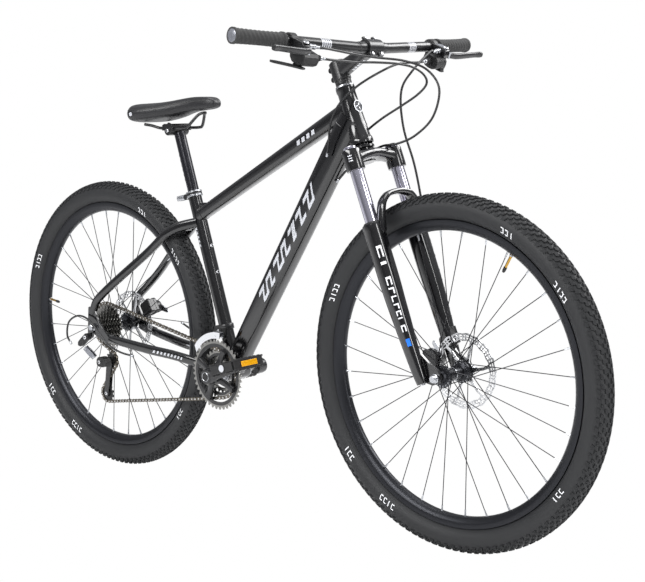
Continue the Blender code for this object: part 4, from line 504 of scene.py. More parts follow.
def cam_lever(s, at, reach, length, finish_name):
    """Forged cam lever: an eye and a curved, flattened blade along reach."""
    r = Vector(reach).normalized()
    run = [(at + Y * 0.0105, 0.0055, 0.0030), (at + Y * 0.0115 + r * 0.012, 0.0062, 0.0030),
        (at + Y * 0.0090 + r * 0.030, 0.0070, 0.0025), (at + Y * 0.0060 + r * length, 0.0058, 0.0022)]
    tube = Tube([(*p, w, h) for p, w, h in run], Y.cross(r), 2.6, 6)
    s.tube(finish_name, tube, 20)
    s.lathe("bright_plate", [(0, 0.0026), (0.0022, 0.0026), (0.0024, 0.0034), (0, 0.0036)], at + Y * 0.0105,
        Y, 16)


# ------------------------------------------------------------------ fork
def build_fork():
    """Crown with steerer, polished stanchions, preload knob."""
    s = Shape()
    s.lathe("gloss_black_paint", [(0.0155, 0.0), (0.0155, 0.0055), (HEAD_R + 0.0002, 0.0062),
        (HEAD_R + 0.0012, 0.0075), (HEAD_R + 0.0012, 0.0115), (0.0205, 0.0135), (0.0190, 0.018),
        (0.0190, 0.040), (0.0170, 0.042), (0, 0.042)], HEAD_BOT, STEER_DN, 44)
    s.lathe("satin_black_paint", [(0.0143, -0.180), (0.0143, 0.0)], HEAD_BOT, STEER_DN, 24)
    bridge = [(steer(0.040, 0.0200, -0.066), 0.0125, 0.015), (steer(0.0335, 0.0185, -0.040), 0.0110, 0.018),
        (steer(0.0290, 0.0130, -0.016), 0.0115, 0.024), (steer(0.0285, 0.0120, 0), 0.0115, 0.025),
              (steer(0.0290, 0.0130, 0.016), 0.0115, 0.024), (steer(0.0335, 0.0185, 0.040), 0.0110,
                  0.018), (steer(0.040, 0.0200, 0.066), 0.0125, 0.015)]
    s.tube("gloss_black_paint", Tube([(*p, a, b) for p, a, b in bridge], STEER_DN, 3.0, 6), 32)
    lug = [(0.0150, 0.0190), (0.0190, 0.0194), (0.0197, 0.0215), (0.0199, 0.030), (0.0199, 0.058),
        (0.0194, 0.0635), (0.0144, 0.0645)]
    for side in (-1, 1):
        s.lathe("gloss_black_paint", lug, steer(0, STANCHION_P, side * STANCHION_Y), STEER_DN, 44)
        for k in range(3):
            outer = Tube([(*steer(t, STANCHION_P, side * STANCHION_Y), 0.0199, 0.0199) for t in (0.022, 0.040,
                0.060)], Y, 2.0, 3)
            a = (math.pi if side < 0 else 0.0) - 0.45 * side
            s.patch("decal_silver", outer, 0.30 + 0.14 * k, 0.36 + 0.14 * k, a - 0.22, a + 0.22, 0.02)
    s.make("fork_crown_casting", "steering", ["fork_crown"])
    for side, name in ((-1, "right_stanchion"), (1, "left_stanchion")):
        t = Shape()
        t.lathe("hard_chrome", [(0, 0.0127), (STANCHION_R - 0.0012, 0.0127), (STANCHION_R, 0.0140),
            (STANCHION_R, 0.315), (0, 0.315)], steer(0, STANCHION_P, side * STANCHION_Y), STEER_DN, 48)
        t.make(name + "_tube", "steering", [name])
    k = Shape()
    knob = steer(0.019 - 0.0003, STANCHION_P, STANCHION_Y)
    k.lathe("moulded_nylon", [(0, 0), (0.0125, 0), (0.0125, 0.0055), (0.0112, 0.0078), (0.0100, 0.0085),
        (0, 0.0085)], knob, -STEER_DN, 32)
    for n in range(18):
        a = TAU * n / 18
        d = STEER_FW * math.cos(a) + Y * math.sin(a)
        k.prism("moulded_nylon", [(-0.0007, 0.0010), (0.0007, 0.0010), (0.0007, 0.0056), (-0.0007, 0.0056)],
            knob + d * 0.0123, d.cross(STEER_DN), -STEER_DN, d, -0.0005, 0.0007)
    k.make("preload_dial", "preload_knob", ["preload_knob"])


def build_lowers():
    """Lower legs with wiper seals, arch, feet, brake lug and plain marks."""
    s = Shape()
    paint = "gloss_black_paint"
    for side in (-1, 1):
        y = side * STANCHION_Y
        run = [(0.181, 0, 0.0213, 0.0213), (0.190, 0, 0.0215, 0.0215), (0.215, 0, 0.0208, 0.0212),
            (0.300, 0, 0.0203, 0.0212), (0.350, 0, 0.0190, 0.0198),
               (0.390, -0.001, 0.0178, 0.0182), (0.440, -0.002, 0.0150, 0.0163), (0.476, -0.003, 0.0130,
                   0.0150), (0.505, -0.0045, 0.0116, 0.0134), (0.521, -0.006, 0.0104, 0.0122)]
        leg = Tube([(*steer(t, STANCHION_P, y + side * dy), a, b) for t, dy, a, b in run], Y, 2.3, 5)
        s.tube(paint, leg, 36)
        s.lathe("moulded_nylon", [(0.0142, 0.1765), (0.0176, 0.1765), (0.0190, 0.1785), (0.0200, 0.1800),
            (0.0213, 0.1812)], steer(0, STANCHION_P, y), STEER_DN, 40)
        s.bolt("bright_plate", steer(0.521, STANCHION_P, y - side * 0.006), STEER_DN, 0.0055, 0.004)
        middle = math.pi if side < 0 else 0.0
        turn = 0.62 if side < 0 else -0.62
        for k in range(9):
            t0 = 0.245 + 0.041 * k
            s.patch("decal_white", leg, t0, t0 + 0.007, middle + turn - 0.26, middle + turn + 0.26, 0.0)
            if k % 2 == 0:
                s.patch("decal_white", leg, t0, t0 + 0.030, middle + turn - 0.26, middle + turn - 0.14, 0.0)
            if k % 3 != 1:
                s.patch("decal_white", leg, t0, t0 + 0.030, middle + turn + 0.12, middle + turn + 0.26, 0.0)
        s.patch("decal_blue", leg, 0.635, 0.672, middle + turn - 0.24, middle + turn + 0.26)
        lo, hi = sorted((side * FRONT_HALF, side * (FRONT_HALF + DROPOUT_T)))
        slot = 0.0048
        arc = [(-slot * math.cos(math.pi * k / 10), slot * math.sin(math.pi * k / 10)) for k in range(11)]
        back = STANCHION_P - 0.0527
        outline = [(back, 0.062), (back - 0.006, 0.004), (-0.012, -0.012),
            (-slot, -0.012)] + arc + [(slot, -0.012), (0.010, -0.012), (0.013, 0.0), (0.011, 0.014),
            (-0.006, 0.034), (back + 0.010, 0.062)]
        s.prism(paint, outline, FRONT_AXLE, STEER_FW, -STEER_DN, Y, lo, hi)
    arch = [(0.200, 0.034, 0.062, 0.012, 0.0070), (0.183, 0.0395, 0.0610, 0.0112, 0.0063),
        (0.166, 0.044, 0.0585, 0.0105, 0.0058), (0.150, 0.0480, 0.0545, 0.0105, 0.0058),
        (0.140, 0.050, 0.048, 0.0105, 0.0058), (0.131, 0.0525, 0.037, 0.0105, 0.0058),
            (0.127, 0.053, 0.026, 0.0105, 0.0058), (0.1245, 0.054, 0.0, 0.0105, 0.0058)]
    both = [(t, p, -y, a, b) for t, p, y, a, b in arch] + [(t, p, y, a, b) for t, p, y, a,
        b in reversed(arch[:-1])]
    s.tube(paint, Tube([(*steer(t, p, y), a, b) for t, p, y, a, b in both], STEER_FW, 3.2, 4), 24)
    lug = [(-0.040, 0.088), (-0.066, 0.080), (-0.078, 0.056), (-0.074, 0.039), (-0.048, 0.037),
        (-0.026, 0.055)]
    s.prism(paint, lug, FRONT_AXLE, X, Z, Y, 0.056, 0.063)
    s.make("fork_leg_castings", "fork_lowers", ["fork_lowers"], angle=28)


# ------------------------------------------------------------------ wheels
def tyre(s, centre):
    """Round casing with rows of staggered tread blocks and pale marks on the wall."""
    rc, rad = 0.3405, 0.0266
    casing = []
    for k in range(27):
        t = math.radians(-156 + 12 * k)
        casing.append((rc + rad * math.cos(t), rad * math.sin(t)))
    s.lathe("sidewall_rubber", casing, centre, Y, 160)
    pitches = 124
    rows = [(-9, 7.5, 0.0, 0.52), (9, 7.5, 0.5, 0.52), (-26, 7.0, 0.45, 0.50), (26, 7.0, 0.95, 0.50),
        (-42, 6.5, 0.0, 0.46), (42, 6.5, 0.5, 0.46), (-58, 7.5, 0.5, 0.56), (58, 7.5, 0.0, 0.56)]
    verts, faces = [], []
    for n in range(pitches):
        for t_mid, half, shift, length in rows:
            high = 0.0295 if abs(t_mid) < 50 else 0.0292
            a0 = TAU * (n + shift) / pitches
            wide = TAU * length / pitches
            base = len(verts)
            for r, pull in ((rad - 0.0008, 0.0), (high, 0.16)):
                for dt, da in ((-1, 0), (1, 0), (1, 1), (-1, 1)):
                    t = math.radians(t_mid + half * dt * (1 - pull))
                    a = a0 + wide * (da * (1 - pull) + pull / 2) + 0.004 * dt * (1 if t_mid > 0 else -1)
                    q = rc + r * math.cos(t)
                    verts.append(centre + Vector((q * math.cos(a), r * math.sin(t), q * math.sin(a))))
            faces += [(base + 4, base + 5, base + 6, base + 7)]
            faces += [(base + k, base + (k + 1) % 4, base + 4 + (k + 1) % 4, base + 4 + k) for k in range(4)]
    s.add("tread_rubber", verts, faces)
    for side in (-1, 1):
        for start, marks in ((0.55, 4), (1.05, 3), (2.62, 4), (3.75, 3), (4.15, 4), (5.60, 3)):
            for k in range(marks):
                a0, a1 = start + 0.034 * k, start + 0.034 * k + 0.022
                grid = []
                for i in range(3):
                    t = math.radians(118 - 13 * i) * side
                    q, h = rc + (rad + 0.0003) * math.cos(t), (rad + 0.0003) * math.sin(t)
                    grid.append([centre + Vector((q * math.cos(a + 0.004 * i), h,
                        q * math.sin(a + 0.004 * i))) for a in (a0, (a0 + a1) / 2, a1)])
                if (k + marks) % 3:
                    s.grid("decal_white", [grid[0], [p.lerp(q, 0.35) for p, q in zip(grid[0], grid[1])]],
                        wrap_cols=False)
                    s.grid("decal_white", [[p.lerp(q, 0.65) for p, q in zip(grid[1], grid[2])], grid[2]],
                        wrap_cols=False)
                    s.grid("decal_white", [[row[0], row[0].lerp(row[1], 0.55)] for row in grid],
                        wrap_cols=False)
                else:
                    s.grid("decal_white", [[row[0].lerp(row[1], 0.5),
                        row[1].lerp(row[2], 0.1)] for row in grid], wrap_cols=False)


def rim(s, centre, valve_angle):
    """Box-section rim with hooked edges and a valve."""
    section = [(0.2940, -0.0050), (0.2936, 0.0), (0.2940, 0.0050), (0.2975, 0.0095), (0.3040, 0.0135),
        (0.3080, 0.0150), (0.3160, 0.0150), (0.3164, 0.0143), (0.3160, 0.0133), (0.3110, 0.0128),
        (0.3060, 0.0060),
               (0.3060, -0.0060), (0.3110, -0.0128), (0.3160, -0.0133), (0.3164, -0.0143), (0.3160,
                   -0.0150), (0.3080, -0.0150), (0.3040, -0.0135), (0.2975, -0.0095)]
    s.lathe("dark_anodised", section, centre, Y, 144, True)
    out = Vector((math.cos(valve_angle), 0, math.sin(valve_angle)))
    s.rod("brass", centre + out * 0.294, centre + out * 0.262, 0.0028, 0.0028, 16)
    s.lathe("machined_silver", [(0.0028, 0.0), (0.0050, 0.0), (0.0050, 0.0030), (0.0028, 0.0032)],
        centre + out * 0.2925, -out, 6)
    s.lathe("moulded_nylon", [(0.0036, 0.0), (0.0036, 0.0075), (0.0024, 0.0115), (0, 0.012)],
        centre + out * 0.263, -out, 16)


def spokes(s, centre, flanges, flange_r):
    """Thirty-two crossed spokes with their nipples at the rim."""
    per, hole = 16, flange_r - 0.0035
    for side, y in ((-1, flanges[0]), (1, flanges[1])):
        for k in range(per):
            lead = 1 if k % 2 else -1
            a_rim = TAU * (k + (0.25 if side > 0 else -0.25)) / per
            a_hub = a_rim - lead * math.radians(66)
            p = centre + Vector((math.cos(a_hub) * hole, y + lead * 0.0014, math.sin(a_hub) * hole))
            q = centre + Vector((math.cos(a_rim) * 0.2925, side * 0.0018, math.sin(a_rim) * 0.2925))
            d = (q - p).normalized()
            s.rod("black_spoke_steel", p, q, 0.00095, 0.00095, 8)
            s.rod("machined_silver", q - d * 0.012, q + d * 0.002, 0.0016, 0.0022, 8)


def hub(s, centre, flanges, flange_r, body_r, ends, rotor_y):
    """Hub shell with two drilled flanges, rings and lock caps."""
    yl, yr = flanges
    lo, hi = ends
    profile = [(0.0052, lo), (body_r - 0.003, lo), (body_r - 0.002, lo + 0.001), (body_r, yl - 0.0045),
        (flange_r - 0.004, yl - 0.0034), (flange_r, yl - 0.0022), (flange_r, yl + 0.0022),
        (flange_r - 0.004, yl + 0.0034),
               (body_r, yl + 0.007), (body_r - 0.0020, yl * 0.5 + yr * 0.5), (body_r,
                   yr - 0.007), (flange_r - 0.004, yr - 0.0034), (flange_r, yr - 0.0022), (flange_r,
                   yr + 0.0022), (flange_r - 0.004, yr + 0.0034), (body_r + 0.002, rotor_y - 0.0012), (0.0135,
                   rotor_y - 0.0008), (0.0135, hi - 0.001), (0.0125, hi), (0.0052, hi)]
    s.lathe("dark_anodised", profile, centre, Y, 48)
    for k in range(32):
        a = TAU * k / 32
        y = yl if k % 2 else yr
        q = flange_r - 0.0035
        s.lathe("machined_silver", [(0.0012, -0.0036), (0.0019, -0.0036), (0.0019, 0.0036), (0.0012, 0.0036)],
            centre + Vector((q * math.cos(a), y, q * math.sin(a))), Y, 8)
    s.lathe("machined_silver", [(0.0132, -0.0006), (0.0142, -0.0006), (0.0142, 0.0006), (0.0132, 0.0006)],
        centre + Y * (yl * 0.5 + yr * 0.5), Y, 32)


def rotor(s, centre, y):
    """Wavy brake disc: outer and inner bands tied by slanted bridges, on six swept arms with six screws."""
    thick = 0.0018
    cells = 216

    def band(r_in, r_out, wave_in, wave_out, count):
        """Ring whose two edges wave count times a turn."""
        rows = []
        for dy, which in ((0, 0), (0, 1), (thick, 1), (thick, 0)):
            row = []
            for k in range(cells):
                a = TAU * k / cells
                r = (r_out + wave_out * math.sin(count * a)) if which else (r_in + wave_in * math.sin(
                    count * a + 1.2))
                row.append(centre + Vector((r * math.cos(a), y + dy, r * math.sin(a))))
            rows.append(row)
        s.grid("ground_stainless", rows, wrap_rows=True)

    band(0.0756, 0.0790, 0.0004, 0.0010, 18)
    band(0.0636, 0.0662, 0.0010, 0.0004, 18)
    band(0.0705, 0.0722, 0.0002, 0.0002, 18)
    for k in range(54):
        a = TAU * k / 54
        u, v = Vector((math.cos(a), 0, math.sin(a))), Vector((-math.sin(a), 0, math.cos(a)))
        slant = 0.0016 if k % 2 else -0.0016
        s.prism("ground_stainless", [(0.0655, -0.0014), (0.0712, slant - 0.0014), (0.0762, -0.0014),
            (0.0762, 0.0014), (0.0712, slant + 0.0014), (0.0655, 0.0014)], centre, u, v, Y, y + 0.00004,
            y + thick - 0.00004)
    s.lathe("ground_stainless", [(0.0139, 0), (0.0232, 0), (0.0232, thick), (0.0139, thick)], centre + Y * y,
        Y, 48, True)
    for k in range(6):
        a = TAU * k / 6 + 0.2
        u, v = Vector((math.cos(a), 0, math.sin(a))), Vector((-math.sin(a), 0, math.cos(a)))
        arm = [(0.0205, -0.0058), (0.034, -0.0030), (0.048, -0.0030), (0.0642, 0.0000), (0.0642, 0.0062),
            (0.050, 0.0035), (0.034, 0.0032), (0.0205, 0.0060)]
        s.prism("ground_stainless", arm, centre, u, v, Y, y + 0.00006, y + thick - 0.00006)
        s.bolt("bright_plate", centre + u * 0.0205 + Y * (y + thick), Y, 0.0030, 0.0022)


def build_wheel(prefix, centre, flanges, flange_r, body_r, ends, rotor_y, valve_angle):
    """Tyre, rim with valve, hub with spokes, and brake rotor of one wheel."""
    body = prefix + "_wheel"
    t = Shape()
    tyre(t, centre)
    t.make(prefix + "_tread_tyre", body, [prefix + "_tyre"], angle=40)
    r = Shape()
    rim(r, centre, valve_angle)
    r.make(prefix + "_rim_hoop", body, [prefix + "_rim"], angle=40)
    h = Shape()
    hub(h, centre, flanges, flange_r, body_r, ends, rotor_y)
    spokes(h, centre, flanges, flange_r)
    h.make(prefix + "_spoked_hub", body, [prefix + "_hub"])
    d = Shape()
    rotor(d, centre, rotor_y)
    d.make(prefix + "_brake_disc", body, [prefix + "_rotor"])


def build_axles():
    """Skewers: nuts, cam housings and cam levers of both wheels."""
    for prefix, centre, half, body, reach in (("front", FRONT_AXLE, FRONT_HALF, "fork_lowers",
        Vector((-0.85, 0, -0.53))), ("rear", REAR_AXLE, REAR_HALF, "frame", Vector((-0.75, 0, 0.66)))):
        s = Shape()
        out = half + DROPOUT_T
        s.lathe("machined_silver", [(0.0045, -out - 0.0003), (0.0095, -out - 0.0003), (0.0095, -out - 0.0036),
            (0.0080, -out - 0.0046), (0.0076, -out - 0.0110), (0.0062, -out - 0.0120), (0, -out - 0.0120)],
            centre, Y, 28)
        s.lathe("machined_silver", [(0.0045, out + 0.0003), (0.0095, out + 0.0003), (0.0095, out + 0.0038),
            (0.0074, out + 0.0055), (0.0070, out + 0.0160), (0, out + 0.0160)], centre, Y, 28)
        s.rod("sprocket_steel", centre - Y * out, centre + Y * out, 0.0045, 0.0045, 16)
        s.make(prefix + "_skewer", body, [prefix + "_axle"])
        q = Shape()
        cam_lever(q, centre + Y * (out + 0.0110), reach, 0.055, "satin_black_paint")
        q.make(prefix + "_skewer_lever", prefix + "_axle_lever", [prefix + "_axle_lever"])


# ------------------------------------------------------------------ drivetrain
def build_cassette():
    """Eight toothed sprockets with spacers and a lock ring."""
    s = Shape()
    for k, teeth in enumerate(SPROCKETS):
        y = SPROCKET_Y - SPROCKET_STEP * k
        s.ring_of_teeth("sprocket_steel", REAR_AXLE, teeth, 0.0165 if k > 4 else 0.0185, y, 0.0018)
        if k:
            s.lathe("moulded_nylon", [(0.0172, y + 0.0009), (0.0172, y + 0.0039)], REAR_AXLE, Y, 28)
        if k < 3:
            for n in range(6):
                a = TAU * n / 6
                u, v = Vector((math.cos(a), 0, math.sin(a))), Vector((-math.sin(a), 0, math.cos(a)))
                s.prism("sprocket_steel", [(0.018, -0.004), (0.018, 0.004), (0.030, 0.002), (0.030, -0.002)],
                    REAR_AXLE, u, v, Y, y - 0.0012, y + 0.0012)
    last = SPROCKET_Y - SPROCKET_STEP * (len(SPROCKETS) - 1)
    s.lathe("machined_silver", [(0.0060, last - 0.0010), (0.0145, last - 0.0010), (0.0145, last - 0.0018),
        (0.0120, last - 0.0022), (0.0060, last - 0.0022)], REAR_AXLE, Y, 32)
    s.make("toothed_cassette", "cassette", ["cassette"])


def build_crankset():
    """Three toothed rings on a four-arm spider, both arms, pedal axles and dust caps."""
    s = Shape()
    s.ring_of_teeth("sprocket_steel", BB, OUTER_TEETH, 0.0735, RING_Y - RING_STEP, 0.0020)
    s.ring_of_teeth("sprocket_steel", BB, MIDDLE_TEETH, 0.0500, RING_Y, 0.0020)
    s.ring_of_teeth("sprocket_steel", BB, INNER_TEETH, 0.0340, RING_Y + RING_STEP, 0.0020)
    s.lathe("satin_black_paint", [(0.0655, -0.0012), (0.0738, -0.0012), (0.0738, 0.0012), (0.0655, 0.0012)],
        BB + Y * (RING_Y - 0.0082), Y, 72, True)
    s.lathe("satin_black_paint", [(0.0440, -0.0011), (0.0502, -0.0011), (0.0502, 0.0011), (0.0440, 0.0011)],
        BB + Y * RING_Y, Y, 60, True)
    for k in range(4):
        a = CRANK_ANGLE + math.pi / 4 + math.pi / 2 * k
        u, v = Vector((math.cos(a), 0, math.sin(a))), Vector((-math.sin(a), 0, math.cos(a)))
        s.prism("satin_black_paint", [(0.0435, -0.0065), (0.0435, 0.0065), (0.0670, 0.0085),
            (0.0670, -0.0085)], BB, u, v, Y, RING_Y - 0.0090, RING_Y - 0.0071)
        s.prism("satin_black_paint", [(0.0345, -0.004), (0.0345, 0.004), (0.0465, 0.005), (0.0465, -0.005)],
            BB, u, v, Y, RING_Y - 0.0009, RING_Y + 0.0009)
        s.bolt("bright_plate", BB + u * 0.0475 + Y * (RING_Y - 0.0088), -Y, 0.0042, 0.0024)
        s.rod("sprocket_steel", BB + u * 0.0475 + Y * (RING_Y - 0.0080),
            BB + u * 0.0475 + Y * (RING_Y + 0.0008), 0.0036, 0.0036, 12)
        s.rod("sprocket_steel", BB + u * 0.0360 + Y * (RING_Y + 0.0080),
            BB + u * 0.0360 + Y * (RING_Y - 0.0010), 0.0032, 0.0032, 12)
    s.make("triple_chainrings", "crank", ["chainrings"], angle=30)
    for side, name in ((-1, "right"), (1, "left")):
        c = Shape()
        along = Vector((math.cos(CRANK_ANGLE), 0, math.sin(CRANK_ANGLE))) * -side
        across = Vector((-along.z, 0, along.x))
        y = side * 0.0862
        run = [(0.000, 0.0168, 0.0062), (0.020, 0.0160, 0.0064), (0.045, 0.0128, 0.0064),
            (0.090, 0.0112, 0.0062), (0.140, 0.0112, 0.0060), (0.165, 0.0128, 0.0060),
            (0.176, 0.0118, 0.0058), (0.1825, 0.0070, 0.0052)]
        arm = Tube([(*(BB + along * t + Y * y), w, h) for t, w, h in run], across, 3.4, 6)
        c.tube("satin_black_paint", arm, 32)
        c.lathe("satin_black_paint", [(0, 0.0935), (0.0155, 0.0935), (0.0172, 0.0920), (0.0186, 0.0850),
            (0.0188, 0.0660), (0.0075, 0.0655)] if side > 0 else [(0, 0.0935), (0.0155, 0.0935),
            (0.0172, 0.0920), (0.0188, 0.0800), (0.0188, 0.0665), (0.0075, 0.0660)], BB, Y * side, 40)
        c.lathe("moulded_nylon", [(0, 0.0943), (0.0088, 0.0943), (0.0098, 0.0935)], BB, Y * side, 30)
        c.lathe("machined_silver", [(0.0098, 0.0936), (0.0104, 0.0940), (0.0110, 0.0936)], BB, Y * side, 30)
        end = BB + along * CRANK_LEN
        c.lathe("machined_silver", [(0.0050, 0.0925), (0.0088, 0.0925), (0.0088, 0.0938), (0.0050, 0.0938)],
            end, Y * side, 24)
        c.rod("sprocket_steel", end + Y * side * 0.0790, end + Y * side * 0.1800, 0.0050, 0.0042, 16)
        if side < 0:
            c.rod("sprocket_steel", BB - Y * 0.080, BB + Y * 0.078, 0.0080, 0.0080, 24)
            for k in range(4):
                a = CRANK_ANGLE + math.pi / 4 + math.pi / 2 * k
                u = Vector((math.cos(a), 0, math.sin(a)))
                w = Vector((-math.sin(a), 0, math.cos(a)))
                y0 = RING_Y - 0.0135
                spider = Tube([(*(BB + u * t + Y * (y0 - (0.0035 if t < 0.03 else 0.0))), half, 0.0040) for t,
                    half in ((0.010, 0.0105), (0.025, 0.0085), (0.045, 0.0070), (0.066, 0.0085))], w, 3.6, 5)
                c.tube("satin_black_paint", spider, 20)
        for k in range(5):
            c.patch("decal_silver", arm, 0.40 + 0.035 * k, 0.418 + 0.035 * k,
                math.pi * 0.5 * (1 if side > 0 else -1) - 0.35,
                math.pi * 0.5 * (1 if side > 0 else -1) + 0.35, 0.008)
        c.make(name + "_crank_arm", "crank", [name + "_crank"], angle=30)


def build_pedal(side, name):
    """Platform pedal: frame with windows, tread pins, amber reflectors and an end cap."""
    tilt = math.radians(16)
    u, v = Vector((math.cos(tilt), 0, math.sin(tilt))), Vector((-math.sin(tilt), 0, math.cos(tilt)))
    at = BB - Vector((math.cos(CRANK_ANGLE), 0, math.sin(CRANK_ANGLE))) * CRANK_LEN * side
    s = Shape()
    y0, y1 = 0.0948, 0.1885
    mat = "moulded_nylon"

    def block(a0, a1, b0, b1, c0, c1, finish_name=mat):
        """Bar in the pedal's own fore-aft, up and outward directions."""
        lo, hi = sorted((side * c0, side * c1))
        s.prism(finish_name, [(a0, b0), (a1, b0), (a1, b1), (a0, b1)], at, u, v, Y, lo, hi)

    for d in (-1, 1):
        lo, hi = sorted((d * 0.0345, d * 0.0398))
        block(lo, hi, -0.0112, 0.0112, y0 + 0.004, y1 - 0.004)
        for level in (-1, 1):
            low, high = sorted((level * 0.0085, level * 0.0125))
            lo, hi = sorted((d * 0.0330, d * 0.0408))
            block(lo, hi, low, high, y0 + 0.002, y1 - 0.002)
            for k in range(7):
                c = y0 + 0.010 + 0.0122 * k
                lo2, hi2 = sorted((d * 0.0345, d * 0.0392))
                low2, high2 = sorted((level * 0.0124, level * 0.0136))
                block(lo2, hi2, low2, high2, c, c + 0.0058)
        lo, hi = sorted((d * 0.0399, d * 0.0414))
        block(lo, hi, -0.0062, 0.0062, y0 + 0.022, y1 - 0.024, "amber_reflector")
    for c in (y0, 0.5 * (y0 + y1) - 0.0035, y1 - 0.0080):
        block(-0.0345, 0.0345, -0.0095, 0.0095, c, c + 0.0075)
    for level in (-1, 1):
        low, high = sorted((level * 0.0088, level * 0.0122))
        block(-0.0118, 0.0118, low, high, y0 + 0.003, y1 - 0.003)
    s.make(name + "_pedal_cage", name + "_pedal", [name + "_pedal"], bevel=0.0008)
    cap = Shape()
    cap.lathe(mat, [(0.0056, y0), (0.0095, y0 + 0.001), (0.0100, y0 + 0.006), (0.0082, y0 + 0.016),
        (0.0082, y1 - 0.014), (0.0098, y1 - 0.006), (0.0098, y1 + 0.0002), (0.0080, y1 + 0.0003)], at,
        Y * side, 32)
    cap.lathe("decal_silver", [(0, y1 + 0.0012), (0.0074, y1 + 0.0010), (0.0080, y1 + 0.0002)], at, Y * side,
        32)
    cap.make(name + "_pedal_barrel", name + "_pedal")


def chain_line():
    """Even points on the chain's pitch line, one per pin, with the direction out of the loop."""
    wheels = [
        ((0, 0), pitch_r(SPROCKETS[0]), 1, SPROCKET_Y),
        ((BB.x, BB.z), pitch_r(MIDDLE_TEETH), 1, RING_Y),
        ((TENSION.x, TENSION.z), pitch_r(PULLEY_TEETH), 1, SPROCKET_Y),
        ((GUIDE.x, GUIDE.z), pitch_r(PULLEY_TEETH), -1, SPROCKET_Y),
    ]
    runs = []
    for i in range(4):
        (c1, r1, s1, _), (c2, r2, s2, _) = wheels[i], wheels[(i + 1) % 4]
        dx, dz = c2[0] - c1[0], c2[1] - c1[1]
        a = math.atan2(dz, dx) + math.asin((s2 * r2 - s1 * r1) / math.hypot(dx, dz))
        nx, nz = -math.sin(a), math.cos(a)
        runs.append(((c1[0] + nx * s1 * r1, c1[1] + nz * s1 * r1),
            (c2[0] + nx * s2 * r2, c2[1] + nz * s2 * r2), a))
    pts = []
    for i in range(4):
        c, r, sign, y = wheels[i]
        came, goes = runs[i - 1][2], runs[i][2]
        turn = (goes - came) % TAU - (TAU if sign > 0 else 0)
        for k in range(41):
            a = came + turn * k / 40
            pts.append(Vector((c[0] - math.sin(a) * sign * r, y, c[1] + math.cos(a) * sign * r)))
        (ex, ez), (sx, sz), _ = runs[i]
        y2, length = wheels[(i + 1) % 4][3], math.hypot(sx - ex, sz - ez)
        if length > 0.1:
            for k in range(1, 20):
                t = k / 20
                near, far = (0.095 if y == RING_Y else 0.030) / length, (0.095
                    if y2 == RING_Y else 0.030) / length
                w = min(1.0, max(0.0, (t - near) / (1 - near - far)))
                pts.append(Vector((ex + (sx - ex) * t, y + (y2 - y) * w, ez + (sz - ez) * t)))
    run = [0.0]
    for a, b in zip(pts, pts[1:] + pts[:1]):
        run.append(run[-1] + (b - a).length)
    count = 2 * round(run[-1] / CHAIN_PITCH / 2)
    out, j = [], 0
    for k in range(count):
        want = run[-1] * k / count
        while run[j + 1] < want:
            j += 1
        out.append(pts[j].lerp(pts[(j + 1) % len(pts)], (want - run[j]) / (run[j + 1] - run[j])))
    return out


def build_chain():
    """Roller chain: alternate inner and outer links with waisted plates, pins and rollers."""
    s = Shape()
    pins = chain_line()
    n = len(pins)
    for i, p in enumerate(pins):
        q = pins[(i + 1) % n]
        along = (q - p).normalized()
        side = (Y - along * Y.dot(along)).normalized()
        up = side.cross(along)
        gap = (q - p).length
        near, far = (0.0024, 0.0033) if i % 2 else (0.0013, 0.0023)
        outline = []
        for k in range(7):
            a = math.pi / 2 + math.pi * k / 6
            outline.append((0.0040 * math.cos(a), 0.0040 * math.sin(a)))
        outline.append((gap / 2, -0.0029))
        for k in range(7):
            a = -math.pi / 2 + math.pi * k / 6
            outline.append((gap + 0.0040 * math.cos(a), 0.0040 * math.sin(a)))
        outline.append((gap / 2, 0.0029))
        for sign in (-1, 1):
            lo, hi = sorted((sign * near, sign * far))
            s.prism("oiled_chain_steel", outline, p, along, up, side, lo, hi)
        s.rod("oiled_chain_steel", p - side * 0.0013, p + side * 0.0013, 0.0037, 0.0037, 10)
        s.rod("bright_plate", p - side * 0.0036, p + side * 0.0036, 0.0017, 0.0017, 8)
    s.make("roller_chain", "frame", ["chain"], angle=25)


def pulley(name, at, scale):
    """Toothed jockey wheel with its steel bush; scale draws it in where the chain's closed side passes."""
    s = Shape()
    s.ring_of_teeth("moulded_nylon", at, PULLEY_TEETH, 0.0045, SPROCKET_Y, 0.0022)
    s.verts = [tuple(at + (Vector(v) - at) * scale) for v in s.verts]
    s.lathe("sprocket_steel", [(0.0028, -0.0022), (0.0062, -0.0022), (0.0062, 0.0022), (0.0028, 0.0022)],
        at + Y * SPROCKET_Y, Y, 20)
    s.make(name + "_wheel", name, [name])


